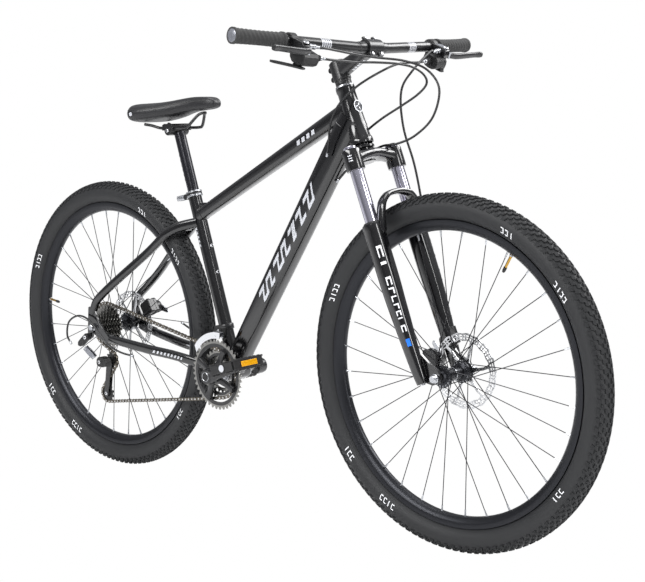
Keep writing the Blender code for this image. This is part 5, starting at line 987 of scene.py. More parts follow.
def build_rear_derailleur():
    """Hanger knuckle, parallelogram link, lower body and a two-plate cage with its jockey wheels."""
    hang = -(REAR_HALF + DROPOUT_T)
    knuckle_at = Vector((-0.018, 0, -0.0265))
    s = Shape()
    s.lathe("moulded_nylon", [(0, 0.0003), (0.0082, 0.0003), (0.0088, 0.0015), (0.0088, 0.0135),
        (0.0078, 0.0148), (0.0050, 0.0152), (0, 0.0152)], knuckle_at + Y * hang, -Y, 32)
    s.bolt("bright_plate", knuckle_at + Y * (hang - 0.0148), -Y, 0.0052, 0.0030)
    d, e = Vector((-0.80, 0, -0.60)), Vector((-0.60, 0, 0.80))
    s.prism("moulded_nylon", [(-0.006, -0.008), (-0.006, 0.008), (0.020, 0.0078), (0.034, 0.0065),
        (0.040, 0.000), (0.034, -0.0075), (0.016, -0.0085)], knuckle_at + Y * (hang - 0.004), d, e, Y,
        -0.0115, 0.0)
    s.make("derailleur_top_knuckle", "frame", ["rear_derailleur_knuckle"], bevel=0.0010)
    top, bot = knuckle_at + d * 0.030 + Y * (hang - 0.010), Vector((0.002, -0.0600, -0.0960))
    along = bot - top
    length = along.length
    w = along.normalized()
    pin = Vector((0.62, 0, 0.785)).normalized()
    pin = (pin - w * pin.dot(w)).normalized()
    v = w.cross(pin)
    k = Shape()
    for side in (-1, 1):
        plate = Tube([(*(top + w * t + v * (side * 0.0034)), half, 0.0018) for t,
            half in ((0.0152, 0.0064), (length * 0.5, 0.0080), (length - 0.0200, 0.0066))], pin, 3.4, 6)
        k.tube("pod_silver_lacquer" if side > 0 else "machined_silver", plate, 20)
        for t in (0.0182, length - 0.0230):
            k.bolt("bright_plate", top + w * t + v * (side * 0.0042), v * side, 0.0022, 0.0014)
    k.make("derailleur_link_plates", "rear_derailleur_link", ["rear_derailleur_link"])
    b = Shape()
    at = Vector((0.008, 0, -0.0915))
    b.prism("moulded_nylon", [(-0.014, -0.004), (-0.0125, 0.006), (-0.006, 0.012), (0.006, 0.0128),
        (0.018, 0.0095), (0.0245, 0.002), (0.0225, -0.0075), (0.012, -0.0128), (-0.006, -0.0128),
        (-0.012, -0.0095)], at, X, Z, Y, -0.0658, -0.0462)
    b.lathe("satin_black_paint", [(0, 0.0668), (0.0072, 0.0668), (0.0080, 0.0655)], at, -Y, 28)
    b.bolt("bright_plate", at - Y * 0.0664, -Y, 0.0046, 0.0026)
    b.make("derailleur_lower_body", "rear_derailleur_body", ["rear_derailleur_body"], bevel=0.0012)
    c = Shape()
    run = (TENSION - GUIDE).normalized()
    lift = Vector((run.z, 0, -run.x))
    span = (TENSION - GUIDE).length
    edge = []
    for n in range(11):
        a = math.pi / 2 + math.pi * n / 10
        edge.append((0.0110 * math.cos(a) + 0.001, 0.0100 * math.sin(a)))
    edge += [(0.020, -0.0095), (span * 0.5, -0.0060), (span - 0.020, -0.0075)]
    for n in range(9):
        a = -math.pi / 2 + math.pi * n / 8
        edge.append((span + 0.0105 * math.cos(a), 0.0085 * math.sin(a)))
    edge += [(span - 0.020, 0.0088), (span * 0.5, 0.0098), (0.020, 0.0115)]
    c.prism("satin_black_paint", edge, GUIDE, run, lift, Y, SPROCKET_Y - 0.0062, SPROCKET_Y - 0.0045)
    c.prism("satin_black_paint", [(a, q * 0.8) for a, q in edge], GUIDE, run, lift, Y, SPROCKET_Y + 0.0045,
        SPROCKET_Y + 0.0058)
    for p in (GUIDE, TENSION):
        c.rod("sprocket_steel", p + Y * (SPROCKET_Y - 0.0050), p + Y * (SPROCKET_Y + 0.0050), 0.0026, 0.0026,
            14)
    c.lathe("moulded_nylon", [(0, 0), (0.0085, 0), (0.0085, 0.0100), (0, 0.0100)],
        GUIDE + Y * (SPROCKET_Y - 0.0058), -Y, 28)
    c.bolt("bright_plate", TENSION + Y * (SPROCKET_Y - 0.0062), -Y, 0.0048, 0.0014)
    c.make("derailleur_cage_plates", "rear_derailleur_cage", ["rear_derailleur_cage"])
    pulley("guide_pulley", GUIDE, 0.92)
    pulley("tension_pulley", TENSION, 1.0)


def build_front_derailleur():
    """Clamp band and linkage on the seat tube, and the bright two-plate cage over the rings."""
    at = SEAT_BASE + SEAT_UP * 0.108
    s = Shape()
    s.lathe("satin_black_paint", [(0.0162, -0.0065), (0.0186, -0.0065), (0.0191, -0.0055), (0.0191, 0.0055),
        (0.0186, 0.0065), (0.0162, 0.0065)], at, SEAT_UP, 40)
    s.prism("moulded_nylon", [(-0.012, -0.022), (0.010, -0.021), (0.014, -0.012), (0.014, 0.003),
        (0.008, 0.007), (-0.006, 0.008), (-0.011, 0.002)], at + X * 0.004, X, Z, Y, -0.0328, -0.0180)
    s.bolt("bright_plate", at + Vector((0.008, -0.0326, -0.004)), -Y, 0.0034, 0.0016)
    s.bolt("bright_plate", at + Vector((-0.002, -0.0326, -0.014)), -Y, 0.0034, 0.0016)
    s.make("front_derailleur_clamp", "frame", ["front_derailleur"], bevel=0.0008)
    c = Shape()
    r0, r1 = pitch_r(OUTER_TEETH) + 0.004, pitch_r(OUTER_TEETH) + 0.019
    outline = [(r1 * math.cos(math.radians(84 + 58 * k / 14)),
        r1 * math.sin(math.radians(84 + 58 * k / 14))) for k in range(15)]
    outline += [(r0 * math.cos(math.radians(148 - 64 * k / 14)),
        r0 * math.sin(math.radians(148 - 64 * k / 14))) for k in range(15)]
    c.prism("bright_plate", outline, BB, X, Z, Y, RING_Y - 0.0068, RING_Y - 0.0055)
    c.prism("bright_plate", outline, BB, X, Z, Y, RING_Y + 0.0055, RING_Y + 0.0068)
    strip = [((r1 - 0.0004) * math.cos(math.radians(88 + 6 * k)),
        (r1 - 0.0004) * math.sin(math.radians(88 + 6 * k))) for k in range(5)]
    strip += [((r1 - 0.0018) * math.cos(math.radians(112 - 6 * k)),
        (r1 - 0.0018) * math.sin(math.radians(112 - 6 * k))) for k in range(5)]
    c.prism("bright_plate", strip, BB, X, Z, Y, RING_Y - 0.0060, RING_Y + 0.0060)
    rib = [((r0 + 0.0070) * math.cos(math.radians(92 + 5 * k)),
        (r0 + 0.0070) * math.sin(math.radians(92 + 5 * k))) for k in range(8)]
    rib += [((r0 + 0.0045) * math.cos(math.radians(127 - 5 * k)),
        (r0 + 0.0045) * math.sin(math.radians(127 - 5 * k))) for k in range(8)]
    c.prism("bright_plate", rib, BB, X, Z, Y, RING_Y - 0.0074, RING_Y - 0.0066)
    c.make("front_derailleur_plates", "front_derailleur_cage", ["front_derailleur_cage"])


# ------------------------------------------------------------------ brakes
def build_caliper(prefix, mid, y, out, reach, body):
    """Two-piece caliper astride the disc with its pivot drum, cable arm and bolts."""
    u = Vector(out).normalized()
    v = Vector((-u.z, 0, u.x)) * (1 if prefix == "rear" else -1)
    s = Shape()
    mat = "satin_black_paint"
    shell = [(-0.022, -0.0140), (-0.0190, -0.0178), (0.0120, -0.0198), (0.0160, -0.0160), (0.0160, 0.0160),
        (0.0120, 0.0198), (-0.0190, 0.0178), (-0.022, 0.0140)]
    s.prism(mat, shell, mid, u, v, Y, y - 0.0120, y - 0.0028)
    s.prism(mat, shell, mid, u, v, Y, y + 0.0046, y + 0.0150)
    s.prism(mat, [(-0.0030, -0.0175), (-0.0030, 0.0175), (0.0155, 0.0170), (0.0155, -0.0170)], mid, u, v, Y,
        y - 0.0110, y + 0.0140)
    s.make(prefix + "_caliper_shell", body, [prefix + "_brake_caliper"], bevel=0.0014)
    drum = mid - u * 0.003
    c = Shape()
    c.lathe(mat, [(0.0165, y + 0.0145), (0.0168, y + 0.0165), (0.0165, y + 0.0270), (0.0150, y + 0.0297),
        (0, y + 0.0300)], Vector((drum.x, 0, drum.z)), Y, 44)
    c.lathe("machined_silver", [(0.0120, y + 0.02985), (0.0130, y + 0.0302), (0.0140, y + 0.02975)],
        Vector((drum.x, 0, drum.z)), Y, 36)
    for sign in (-1, 1):
        c.bolt("bright_plate", mid + v * (0.0135 * sign) + u * 0.0085 + Y * (y + 0.0150), Y, 0.0036, 0.0030)
    c.make(prefix + "_caliper_drum", body)
    arm = Shape()
    a = Vector(reach).normalized()
    b = Vector((-a.z, 0, a.x))
    base = Vector((drum.x, 0, drum.z))
    arm.prism("machined_silver", [(-0.0092, -0.0030), (-0.0070, -0.0078), (0.0, -0.0092), (0.008, -0.0080),
        (0.036, -0.0050), (0.0400, 0.0), (0.036, 0.0050), (0.008, 0.0080), (0.0, 0.0092), (-0.0070, 0.0078),
        (-0.0092, 0.0030)], base, a, b, Y, y + 0.0304, y + 0.0336)
    arm.bolt("bright_plate", base + Y * (y + 0.0336), Y, 0.0048, 0.0030)
    arm.bolt("bright_plate", base + a * 0.034 + Y * (y + 0.0336), Y, 0.0036, 0.0024)
    arm.make(prefix + "_caliper_arm", prefix + "_brake_arm", [prefix + "_brake_arm"], bevel=0.0005)


def build_brakes():
    """Front caliper on the left fork leg, rear caliper on the left stay."""
    out = Vector((-0.985, 0, 0.1726)).normalized()
    build_caliper("front", FRONT_AXLE + out * (ROTOR_R + 0.008), FRONT_ROTOR_Y, out, (-0.55, 0, 0.835),
        "fork_lowers")
    out = Vector((0.866, 0, 0.500)).normalized()
    build_caliper("rear", out * (ROTOR_R + 0.006), REAR_ROTOR_Y, out, (0.90, 0, -0.25), "frame")


# ------------------------------------------------------------------ cockpit
def on_bar(t, side):
    """Point on the straight outer run of the bar, t in from its end, and the outward direction."""
    d = (BAR_END - BAR_IN).normalized()
    p = BAR_END - d * t
    return Vector((p.x, side * p.y, p.z)), Vector((d.x, side * d.y, d.z))


def build_cockpit():
    """Stem with spacers and pinch bolts, face plate and bar."""
    s = Shape()
    mat = "satin_black_paint"
    s.lathe("machined_silver", [(HEAD_TOP_R, HEAD_LEN + 0.0003), (HEAD_TOP_R + 0.0012, HEAD_LEN + 0.0010),
        (HEAD_TOP_R + 0.0010, HEAD_LEN + 0.0040), (0.0178, HEAD_LEN + 0.0050), (0.0150, HEAD_LEN + 0.0050)],
        HEAD_BOT, -STEER_DN, 48)
    s.lathe(mat, [(0.0174, HEAD_LEN + 0.0050), (0.0176, HEAD_LEN + 0.0058), (0.0176, 0.1385),
        (0.0172, 0.1390), (0.0172, 0.1396), (0.0176, 0.1400), (0.0176, 0.1440)], HEAD_BOT, -STEER_DN, 48)
    s.lathe(mat, [(0.0150, 0.1445), (0.0186, 0.1445), (0.0193, 0.1456), (0.0193, 0.1842), (0.0186, 0.1850),
        (0.0150, 0.1850)], HEAD_BOT, -STEER_DN, 48)
    neck = Tube([(*(STEM_C + STEM_DIR * 0.006), 0.0158, 0.0175),
        (*(STEM_C + STEM_DIR * 0.030), 0.0148, 0.0155), (*(STEM_C + STEM_DIR * 0.055), 0.0146, 0.0140),
        (*(STEM_C + STEM_DIR * 0.075), 0.0172, 0.0138), (*(BAR_C - STEM_DIR * 0.008), 0.0200, 0.0140)], Y,
        3.4, 6)
    s.tube(mat, neck, 32)
    jaw = [(0.0177 * math.cos(a), 0.0177 * math.sin(a)) for a in [math.pi / 2 + math.pi * k / 16
        for k in range(17)]]
    s.prism(mat, jaw, BAR_C, STEM_DIR, STEM_UP, Y, -0.0220, 0.0220)
    for k in range(6):
        s.patch("decal_silver", neck, 0.28 + 0.075 * k, 0.33 + 0.075 * k, 1.30, 1.85, 0.02)
    for t in (0.0105, -0.0105):
        s.bolt("bright_plate", STEM_C - STEM_DIR * 0.0178 - STEER_DN * t + Y * 0.009, Y, 0.0040, 0.0045)
        s.rod(mat, STEM_C - STEM_DIR * 0.0178 - STEER_DN * t - Y * 0.009,
            STEM_C - STEM_DIR * 0.0178 - STEER_DN * t + Y * 0.009, 0.0062, 0.0062, 20)
    cap = steer(-0.185)
    s.lathe("satin_black_paint", [(0.0165, 0.0), (0.0165, 0.0016), (0.0150, 0.0028), (0.0050, 0.0030),
        (0, 0.0030)], cap, -STEER_DN, 40)
    s.bolt("bright_plate", cap - STEER_DN * 0.0026, -STEER_DN, 0.0046, 0.0022)
    s.make("stem_and_spacers", "steering", ["stem"], bevel=0.0006)
    f = Shape()
    face = [(0.0177 * math.cos(a), 0.0177 * math.sin(a)) for a in [-math.pi / 2 + math.pi * (k + 0.6) / 17.2
        for k in range(17)]]
    f.prism(mat, face, BAR_C, STEM_DIR, STEM_UP, Y, -0.0220, 0.0220)
    for sign in (-1, 1):
        outline = [(0.0015, sign * 0.0150), (0.0015, sign * 0.0228), (0.0074, sign * 0.0222),
            (0.0085, sign * 0.0115)]
        for c in (-1, 1):
            lo, hi = sorted((c * 0.0070, c * 0.0215))
            f.prism(mat, outline, BAR_C, STEM_DIR, STEM_UP, Y, lo, hi)
            f.bolt("bright_plate", BAR_C + STEM_DIR * 0.0074 + STEM_UP * sign * 0.0182 + Y * c * 0.0142,
                STEM_DIR, 0.0036, 0.0036)
    f.make("stem_face_plate", "steering", ["stem_faceplate"], bevel=0.0007)
    b = Shape()
    half = [(BAR_C, 0.0127), (BAR_C + Y * 0.026, 0.0127), (BAR_C + Y * 0.040 + Z * 0.0002, 0.0118),
        (BAR_IN, 0.0111), (BAR_IN.lerp(BAR_END, 0.3), 0.0111), (BAR_IN.lerp(BAR_END, 0.7), 0.0111),
        (BAR_END, 0.0111)]
    run = [(Vector((p.x, -p.y, p.z)), r) for p, r in reversed(half[1:])] + half
    bar = Tube([(*p, r, r) for p, r in run], X, 2.0, 4)
    b.tube(mat, bar, 32)
    for side in (-1, 1):
        p, d = on_bar(0.215, side)
        for k in range(5):
            b.lathe("decal_silver", [(0.0112, 0.0), (0.01125, 0.0002), (0.01125, 0.0030), (0.0112, 0.0032)],
                p - d * 0.0055 * k, -d, 32)
    b.make("riser_bar", "steering", ["handlebar"])


def build_grips():
    """Flanged rubber grips with a wave relief and grey end caps."""
    for side, name in ((-1, "right_grip"), (1, "left_grip")):
        s = Shape()
        p, d = on_bar(-0.0035, side)
        w, u, v = basis(-d)
        rows = []
        for i in range(97):
            t = GRIP_LEN * i / 96
            base = 0.0150 - 0.0010 * math.sin(math.pi * t / GRIP_LEN)
            if t < 0.0060:
                base = 0.0163
            elif t < 0.0085:
                base = 0.0150
            elif t > GRIP_LEN - 0.0055:
                base = 0.0166
            elif t > GRIP_LEN - 0.0085:
                base = 0.0148
            row = []
            for k in range(64):
                a = TAU * k / 64
                relief = 0.0
                if 0.012 < t < GRIP_LEN - 0.012:
                    wave = math.sin(TAU * (t / 0.0105) + 2.2 * math.sin(2 * a))
                    relief = 0.00055 if wave > 0.15 else -0.0002
                row.append(p + w * t + (u * math.cos(a) + v * math.sin(a)) * (base + relief))
            rows.append(row)
        s.grid("grip_rubber", rows, caps=True)
        s.lathe("pod_silver_lacquer", [(0, 0.0006), (0.0118, 0.0006), (0.0128, 0.0)], p, d, 40)
        s.make(name + "_sleeve", "steering", [name], angle=50)


def build_controls():
    """Clamps, shifter housings with lids, barrel adjusters, brake levers and shift paddles."""
    fw, dn = Vector((0.920, 0, -0.392)), Vector((-0.392, 0, -0.920))
    for side, name in ((-1, "right"), (1, "left")):
        p, d = on_bar(GRIP_LEN + 0.008, side)
        inward, out = -d, d
        c = p + inward * 0.008
        s = Shape()
        s.lathe("moulded_nylon", [(0.0112, 0.0), (0.0158, 0.0), (0.0165, 0.0010), (0.0165, 0.0150),
            (0.0158, 0.0160), (0.0112, 0.0160)], p, inward, 40)
        s.prism("satin_black_paint", [(0.004, -0.0105), (0.020, -0.0118), (0.040, -0.0118), (0.0485, -0.0070),
            (0.0498, 0.0), (0.0485, 0.0068), (0.044, 0.0138), (0.010, 0.0140), (0.004, 0.010)], c, fw, dn,
            inward, -0.0095, 0.0095)
        house = [(0.012, 0.008), (0.030, 0.0072), (0.046, 0.0085), (0.0520, 0.0150), (0.0532, 0.0230),
            (0.0505, 0.0310), (0.042, 0.0362), (0.030, 0.0362), (0.020, 0.0340), (0.0125, 0.0270),
            (0.010, 0.020)]
        s.prism("moulded_nylon", house, c, fw, dn, inward, -0.0040, 0.0340)
        s.make(name + "_control_housing", "steering", [name + "_control_pod"], bevel=0.0016)
        q = Shape()
        lid = "pod_silver_lacquer" if side > 0 else "moulded_nylon"
        q.prism(lid, [(0.015, -0.0122), (0.022, -0.0134), (0.038, -0.0134), (0.045, -0.0110),
            (0.045, -0.0100), (0.015, -0.0100)], c, fw, dn, inward, -0.0070, 0.0075)
        q.make(name + "_control_lid", "steering", bevel=0.0010)
        b = Shape()
        p0, p1 = c + fw * 0.034 - dn * 0.003 + inward * 0.0085, c + fw * 0.037 - dn * 0.003 + inward * 0.0360
        axis = (p1 - p0).normalized()
        b.lathe("machined_silver", [(0.0042, 0.0), (0.0042, 0.006), (0.0056, 0.0065), (0.0056, 0.0120),
            (0.0046, 0.0125), (0.0046, 0.0150), (0.0054, 0.0155), (0.0054, 0.0220), (0.0036, 0.0230),
            (0.0034, 0.0285), (0, 0.0285)], p0, axis, 24)
        s0, s1 = c + fw * 0.030 + dn * 0.020 + inward * 0.0330, c + fw * 0.034 + dn * 0.020 + inward * 0.0600
        axis2 = (s1 - s0).normalized()
        ribs = []
        for k in range(8):
            h = 0.002 + 0.0024 * k
            ribs += [(0.0064, h), (0.0064, h + 0.0014), (0.0056, h + 0.0018), (0.0056, h + 0.0023)]
        b.lathe("moulded_nylon", [(0.0050, 0.0)] + ribs + [(0.0050, 0.0215)], s0, axis2, 28)
        b.lathe("machined_silver", [(0.0048, 0.0215), (0.0048, 0.0240), (0.0036, 0.0272), (0, 0.0272)], s0,
            axis2, 24)
        b.bolt("bright_plate", c + dn * 0.0140 + fw * 0.0040, dn, 0.0036, 0.0030)
        hub_at = c + fw * 0.033 + dn * 0.0362
        b.lathe("moulded_nylon", [(0, 0.0), (0.0085, 0.0), (0.0085, 0.0004), (0, 0.0006)], hub_at, dn, 28)
        b.lathe("bright_plate", [(0, 0.0026), (0.0050, 0.0024), (0.0060, 0.0014), (0.0060, 0.0)],
            c + fw * 0.041 - dn * 0.0118, -dn, 28)
        b.make(name + "_control_fittings", "steering")
        lever = Shape()
        pivot = c + fw * 0.0561
        blade = [(pivot, 0.0045, 0.0060), (pivot + out * 0.012 + fw * 0.003, 0.0048, 0.0068),
            (pivot + out * 0.024 + fw * 0.006, 0.0046, 0.0068),
            (pivot + out * 0.055 + fw * 0.010 - dn * 0.002, 0.0038, 0.0064),
                 (pivot + out * 0.085 + fw * 0.0125 - dn * 0.004, 0.0038,
                     0.0062), (pivot + out * 0.100 + fw * 0.0160 - dn * 0.0054, 0.0044,
                     0.0066), (pivot + out * 0.107 + fw * 0.018 - dn * 0.006, 0.0044, 0.0056)]
        lever.tube("satin_black_paint", Tube([(*q2, w2, h2) for q2, w2, h2 in blade], fw, 2.6, 6), 28)
        lever.rod("machined_silver", pivot - dn * 0.0072, pivot + dn * 0.0072, 0.0030, 0.0030, 16)
        lever.make(name + "_brake_blade", name + "_brake_lever", [name + "_brake_lever"])
        paddle = Shape()
        hub2 = c + fw * 0.042
        outline = [(0.008, -0.008), (0.0105, -0.002), (0.010, 0.004), (0.002, 0.0145), (-0.004, 0.024),
            (-0.0115, 0.038), (-0.018, 0.050), (-0.024, 0.0545), (-0.030, 0.050), (-0.0275, 0.038),
            (-0.022, 0.026), (-0.0155, 0.0135), (-0.010, 0.004), (-0.0098, -0.002), (-0.008, -0.006)]
        paddle.prism("moulded_nylon", outline, hub2, fw, out, dn, 0.0368, 0.0405)
        paddle.make(name + "_shift_paddle", name + "_shift_lever", [name + "_shift_lever"], bevel=0.0010)


# ------------------------------------------------------------------ seat
def build_seat():
    """Seat post with its clamp head, rails, and a padded saddle with seams and pale patches."""
    s = Shape()
    post = Tube([(*(SEAT_TOP + SEAT_UP * t), 0.0136, 0.0136) for t in (-0.160, -0.06, 0.05, 0.162)], Y, 2.0,
        8)
    s.tube("post_anodised", post, 48)
    for k in range(6):
        t = 0.640 + 0.036 * k
        s.patch("decal_silver", post, t, t + 0.016, math.pi + 0.62, math.pi + 1.08, 0.012)
        s.patch("decal_silver", post, t + 0.018, t + 0.024, math.pi + 0.72, math.pi + 0.98, 0.0)
    for k in range(5):
        s.patch("decal_silver", post, 0.560 + 0.012 * k, 0.5625 + 0.012 * k, math.pi + 0.2, math.pi + 0.45)
    s.lathe("satin_black_paint", [(0, -0.0295), (0.0110, -0.0295), (0.0120, -0.0285), (0.0120, 0.0285),
        (0.0110, 0.0295), (0, 0.0295)], HEAD_C - Z * 0.005, Y, 32)
    s.prism("satin_black_paint", [(-0.019, -0.0050), (0.019, -0.0050), (0.019, 0.0006), (-0.019, 0.0006)],
        HEAD_C, X, Z, Y, -0.0300, 0.0300)
    s.prism("satin_black_paint", [(-0.019, 0.0014), (0.019, 0.0014), (0.0185, 0.0080), (0.012, 0.0110),
        (-0.012, 0.0110), (-0.0185, 0.0080)], HEAD_C, X, Z, Y, -0.0300, 0.0300)
    for side in (-1, 1):
        s.lathe("bright_plate", [(0, 0.0325), (0.0050, 0.0325), (0.0058, 0.0310), (0.0058, 0.0295)],
            HEAD_C - Z * 0.005, Y * side, 6)
    s.make("post_and_clamp", "seatpost", ["seatpost"], bevel=0.0004, angle=30)
    nose, base = HEAD_C.x + 0.1488, HEAD_C.z + 0.0140
    rail_z = HEAD_C.z + 0.001
    one = [Vector((nose - 0.058, -0.010, base + 0.0165)), Vector((nose - 0.080, -0.022, rail_z + 0.005)),
        Vector((nose - 0.095, -0.022, rail_z)), Vector((HEAD_C.x, -0.022, rail_z)),
        Vector((HEAD_C.x - 0.034, -0.022, rail_z)),
           Vector((HEAD_C.x - 0.056, -0.030, rail_z + 0.006)), Vector((HEAD_C.x - 0.074, -0.038,
               base - 0.0035))]
    points = list(reversed(one)) + [Vector((nose - 0.045, 0, base + 0.0215))] + [Vector((q.x, -q.y,
        q.z)) for q in one]
    r = Shape()
    r.wire("satin_black_paint", points, 0.0036, 16, 5)
    r.make("wire_rails", "saddle", ["saddle_rails"])
    build_saddle(nose, base)


def build_saddle(nose, base):
    """Saddle shell and cover lofted from nose to tail, with a pressure channel, seam cords and patches."""
    stations = [(0.000, 0.010, 0.0365, 0.0460), (0.020, 0.0145, 0.0335, 0.0530),
        (0.075, 0.0195, 0.0305, 0.0575), (0.180, 0.0215, 0.0285, 0.0592), (0.300, 0.0245, 0.0255, 0.0585),
        (0.420, 0.0325, 0.0200, 0.0550),
                (0.520, 0.0430, 0.0150, 0.0515), (0.620, 0.0550, 0.0110, 0.0488), (0.710, 0.0650, 0.0080,
                    0.0475), (0.800, 0.0722, 0.0050, 0.0468), (0.880, 0.0745, 0.0030, 0.0462), (0.940, 0.0715,
                    0.0030, 0.0450), (0.980, 0.0610, 0.0045, 0.0425), (1.000, 0.0480, 0.0090, 0.0370)]
    fine = smooth_run(stations, 7)
    profile = [(0.30, -0.04), (0.62, 0.0), (0.86, 0.10), (0.965, 0.26), (1.0, 0.44), (0.985, 0.60),
        (0.93, 0.76), (0.82, 0.90), (0.66, 0.975), (0.46, 1.0), (0.26, 0.995), (0.11, 0.972), (0.0, 0.955)]
    loop = profile + [(-a, b) for a, b in reversed(profile[:-1])]
    across = smooth_run(loop, 3)
    rows = []
    for d, hw, low, high in fine:
        x = nose - d * 0.262
        rows.append([Vector((x, hw * a, base + low + (high - low) * b)) for a, b in across])
    s = Shape()
    s.grid("saddle_vinyl", rows, caps=True)
    cover = s.make("padded_saddle", "saddle", ["saddle"], angle=60)
    t = Shape()
    m = len(across)
    for share in (0.21, 0.79):
        k = int(share * (m - 1))
        seam = [rows[i][k] + Z * 0.0003 for i in range(6, len(rows) - 3, 4)]
        t.wire("grip_rubber", seam, 0.0007, 6, 2)
    for index in (4, 8):
        k = int(0.12 * (m - 1)) + index // 4
        row = [rows[i][k] for i in range(10, len(rows) - 4, 4)]
        t.wire("grip_rubber", row, 0.0005, 6, 2)
    for i0 in (68, 76):
        for k0 in (9, m - 13):
            cells = []
            for i in range(5):
                half = math.sqrt(max(0.0, 1 - ((i - 2) / 2.4) ** 2)) * 1.9
                line = []
                for k in range(5):
                    j = k0 + half * (k - 2) / 2
                    j0 = int(math.floor(j))
                    row = rows[min(i0 + i, len(rows) - 1)]
                    q = row[j0].lerp(row[j0 + 1], j - j0)
                    middle = Vector((q.x, 0, base + 0.025))
                    line.append(q + (q - middle).normalized() * 0.0006)
                cells.append(line)
            t.grid("decal_silver", cells, wrap_cols=False)
    t.make("saddle_trim", "saddle")


# ------------------------------------------------------------------ cables
def under_down(t, y):
    """Point just clear of the down tube's underside, t up its axis from the bottom bracket."""
    low, high = BB + Vector((0.0005, 0, 0.0095)), steer(-0.060)
    d = (high - low).normalized()
    return low + d * t + Vector((d.z, 0, -d.x)) * 0.0324 + Y * y


def cable(name, route, body, node, other=None, r=0.0025):
    """Cable casing with crimped ferrules; one that crosses a joint rides on no body and stays where it is
    built.
    """
    s = Shape()
    points = [Vector(p) for p in route]
    s.wire("cable_sheath", points, r, 12, 8)
    for p, q in ((points[0], points[1]), (points[-1], points[-2])):
        d = (q - p).normalized()
        s.lathe("machined_silver", [(r * 0.9, 0.0), (r * 1.22, 0.0002), (r * 1.22, 0.0075),
            (r * 1.05, 0.0085)], p, d, 14)
    if other:
        ob = s.make(name, None, [node])
        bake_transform(ob)
    else:
        s.make(name, body, [node])


def build_cables():
    """Brake and shift casings between levers, frame and fork."""
    fw, dn = Vector((0.920, 0, -0.392)), Vector((-0.392, 0, -0.920))

    def start(side, which):
        """Where a casing leaves its lever's or shifter's adjuster, and which way."""
        p, d = on_bar(GRIP_LEN + 0.008, side)
        c = p - d * 0.008
        if which == "brake":
            return c + fw * 0.0371 - dn * 0.003 - d * 0.0367, (fw * 0.003 - d * 0.0275).normalized()
        return c + fw * 0.0341 + dn * 0.020 - d * 0.0607, (fw * 0.004 - d * 0.027).normalized()

    def route(side, which, rest):
        """Casing's path from its adjuster on."""
        p, d = start(side, which)
        return [p, p + d * 0.022] + [Vector(q) for q in rest]

    front = route(1, "brake", [(0.922, 0.096, 0.618), (0.902, 0.082, 0.575), (0.909, 0.079, 0.500),
        (0.934, 0.084, 0.420), (0.950, 0.090, 0.330), (0.963, 0.0955, 0.220), (0.983, 0.094, 0.130)])
    cable("front_brake_casing", front, "steering", "front_brake_cable", "fork_lowers")
    brake = route(-1, "brake", [(0.903, -0.075, 0.651), (0.912, -0.010, 0.644), (0.9355, 0.055, 0.637),
        (0.968, 0.088, 0.618), (0.998, 0.090, 0.578), (0.990, 0.078, 0.520), (0.955, 0.062, 0.482),
        (0.915, 0.050, 0.465), (0.880, 0.0445, 0.4605), (0.848, 0.036, 0.445), (0.824, 0.022, 0.425),
        (0.813, 0.008, 0.4130), tuple(under_down(0.560, 0.0))])
    cable("long_brake_casing", brake, "frame", "rear_brake_cable", "steering")
    shift = route(-1, "shift", [(0.906, -0.060, 0.634), (0.920, -0.020, 0.6335), (0.9345, 0.030, 0.631),
        (0.942, 0.075, 0.6235), (0.9525, 0.098, 0.607), (0.955, 0.101, 0.588), (0.9379, 0.090, 0.566),
        (0.904, 0.071, 0.541), (0.872, 0.052, 0.518), (0.838, 0.038, 0.490), (0.808, 0.034, 0.458)])
    cable("right_shift_casing", shift, "frame", "rear_shift_cable", "steering")
    other = route(1, "shift", [(0.915, 0.060, 0.632), (0.915, 0.000, 0.615), (0.885, -0.042, 0.585),
        (0.845, -0.052, 0.550), (0.815, -0.047, 0.512), (0.798, -0.036, 0.470), (0.788, -0.032, 0.440)])
    cable("left_shift_casing", other, "frame", "front_shift_cable", "steering")
    loop = [(0.150, -0.0680, -0.060), (0.110, -0.0790, -0.052), (0.070, -0.084, -0.036),
        (0.030, -0.085, -0.006), (-0.010, -0.086, 0.022), (-0.050, -0.087, 0.026), (-0.088, -0.087, 0.006),
        (-0.100, -0.085, -0.030), (-0.086, -0.083, -0.052)]
    cable("derailleur_casing_loop", loop, "frame", "rear_shift_casing")
    cable("chainstay_brake_casing", [(0.320, 0.0660, -0.040), (0.270, 0.0740, -0.022), (0.210, 0.080, -0.010),
        (0.160, 0.084, 0.006)], "frame", "rear_brake_casing")


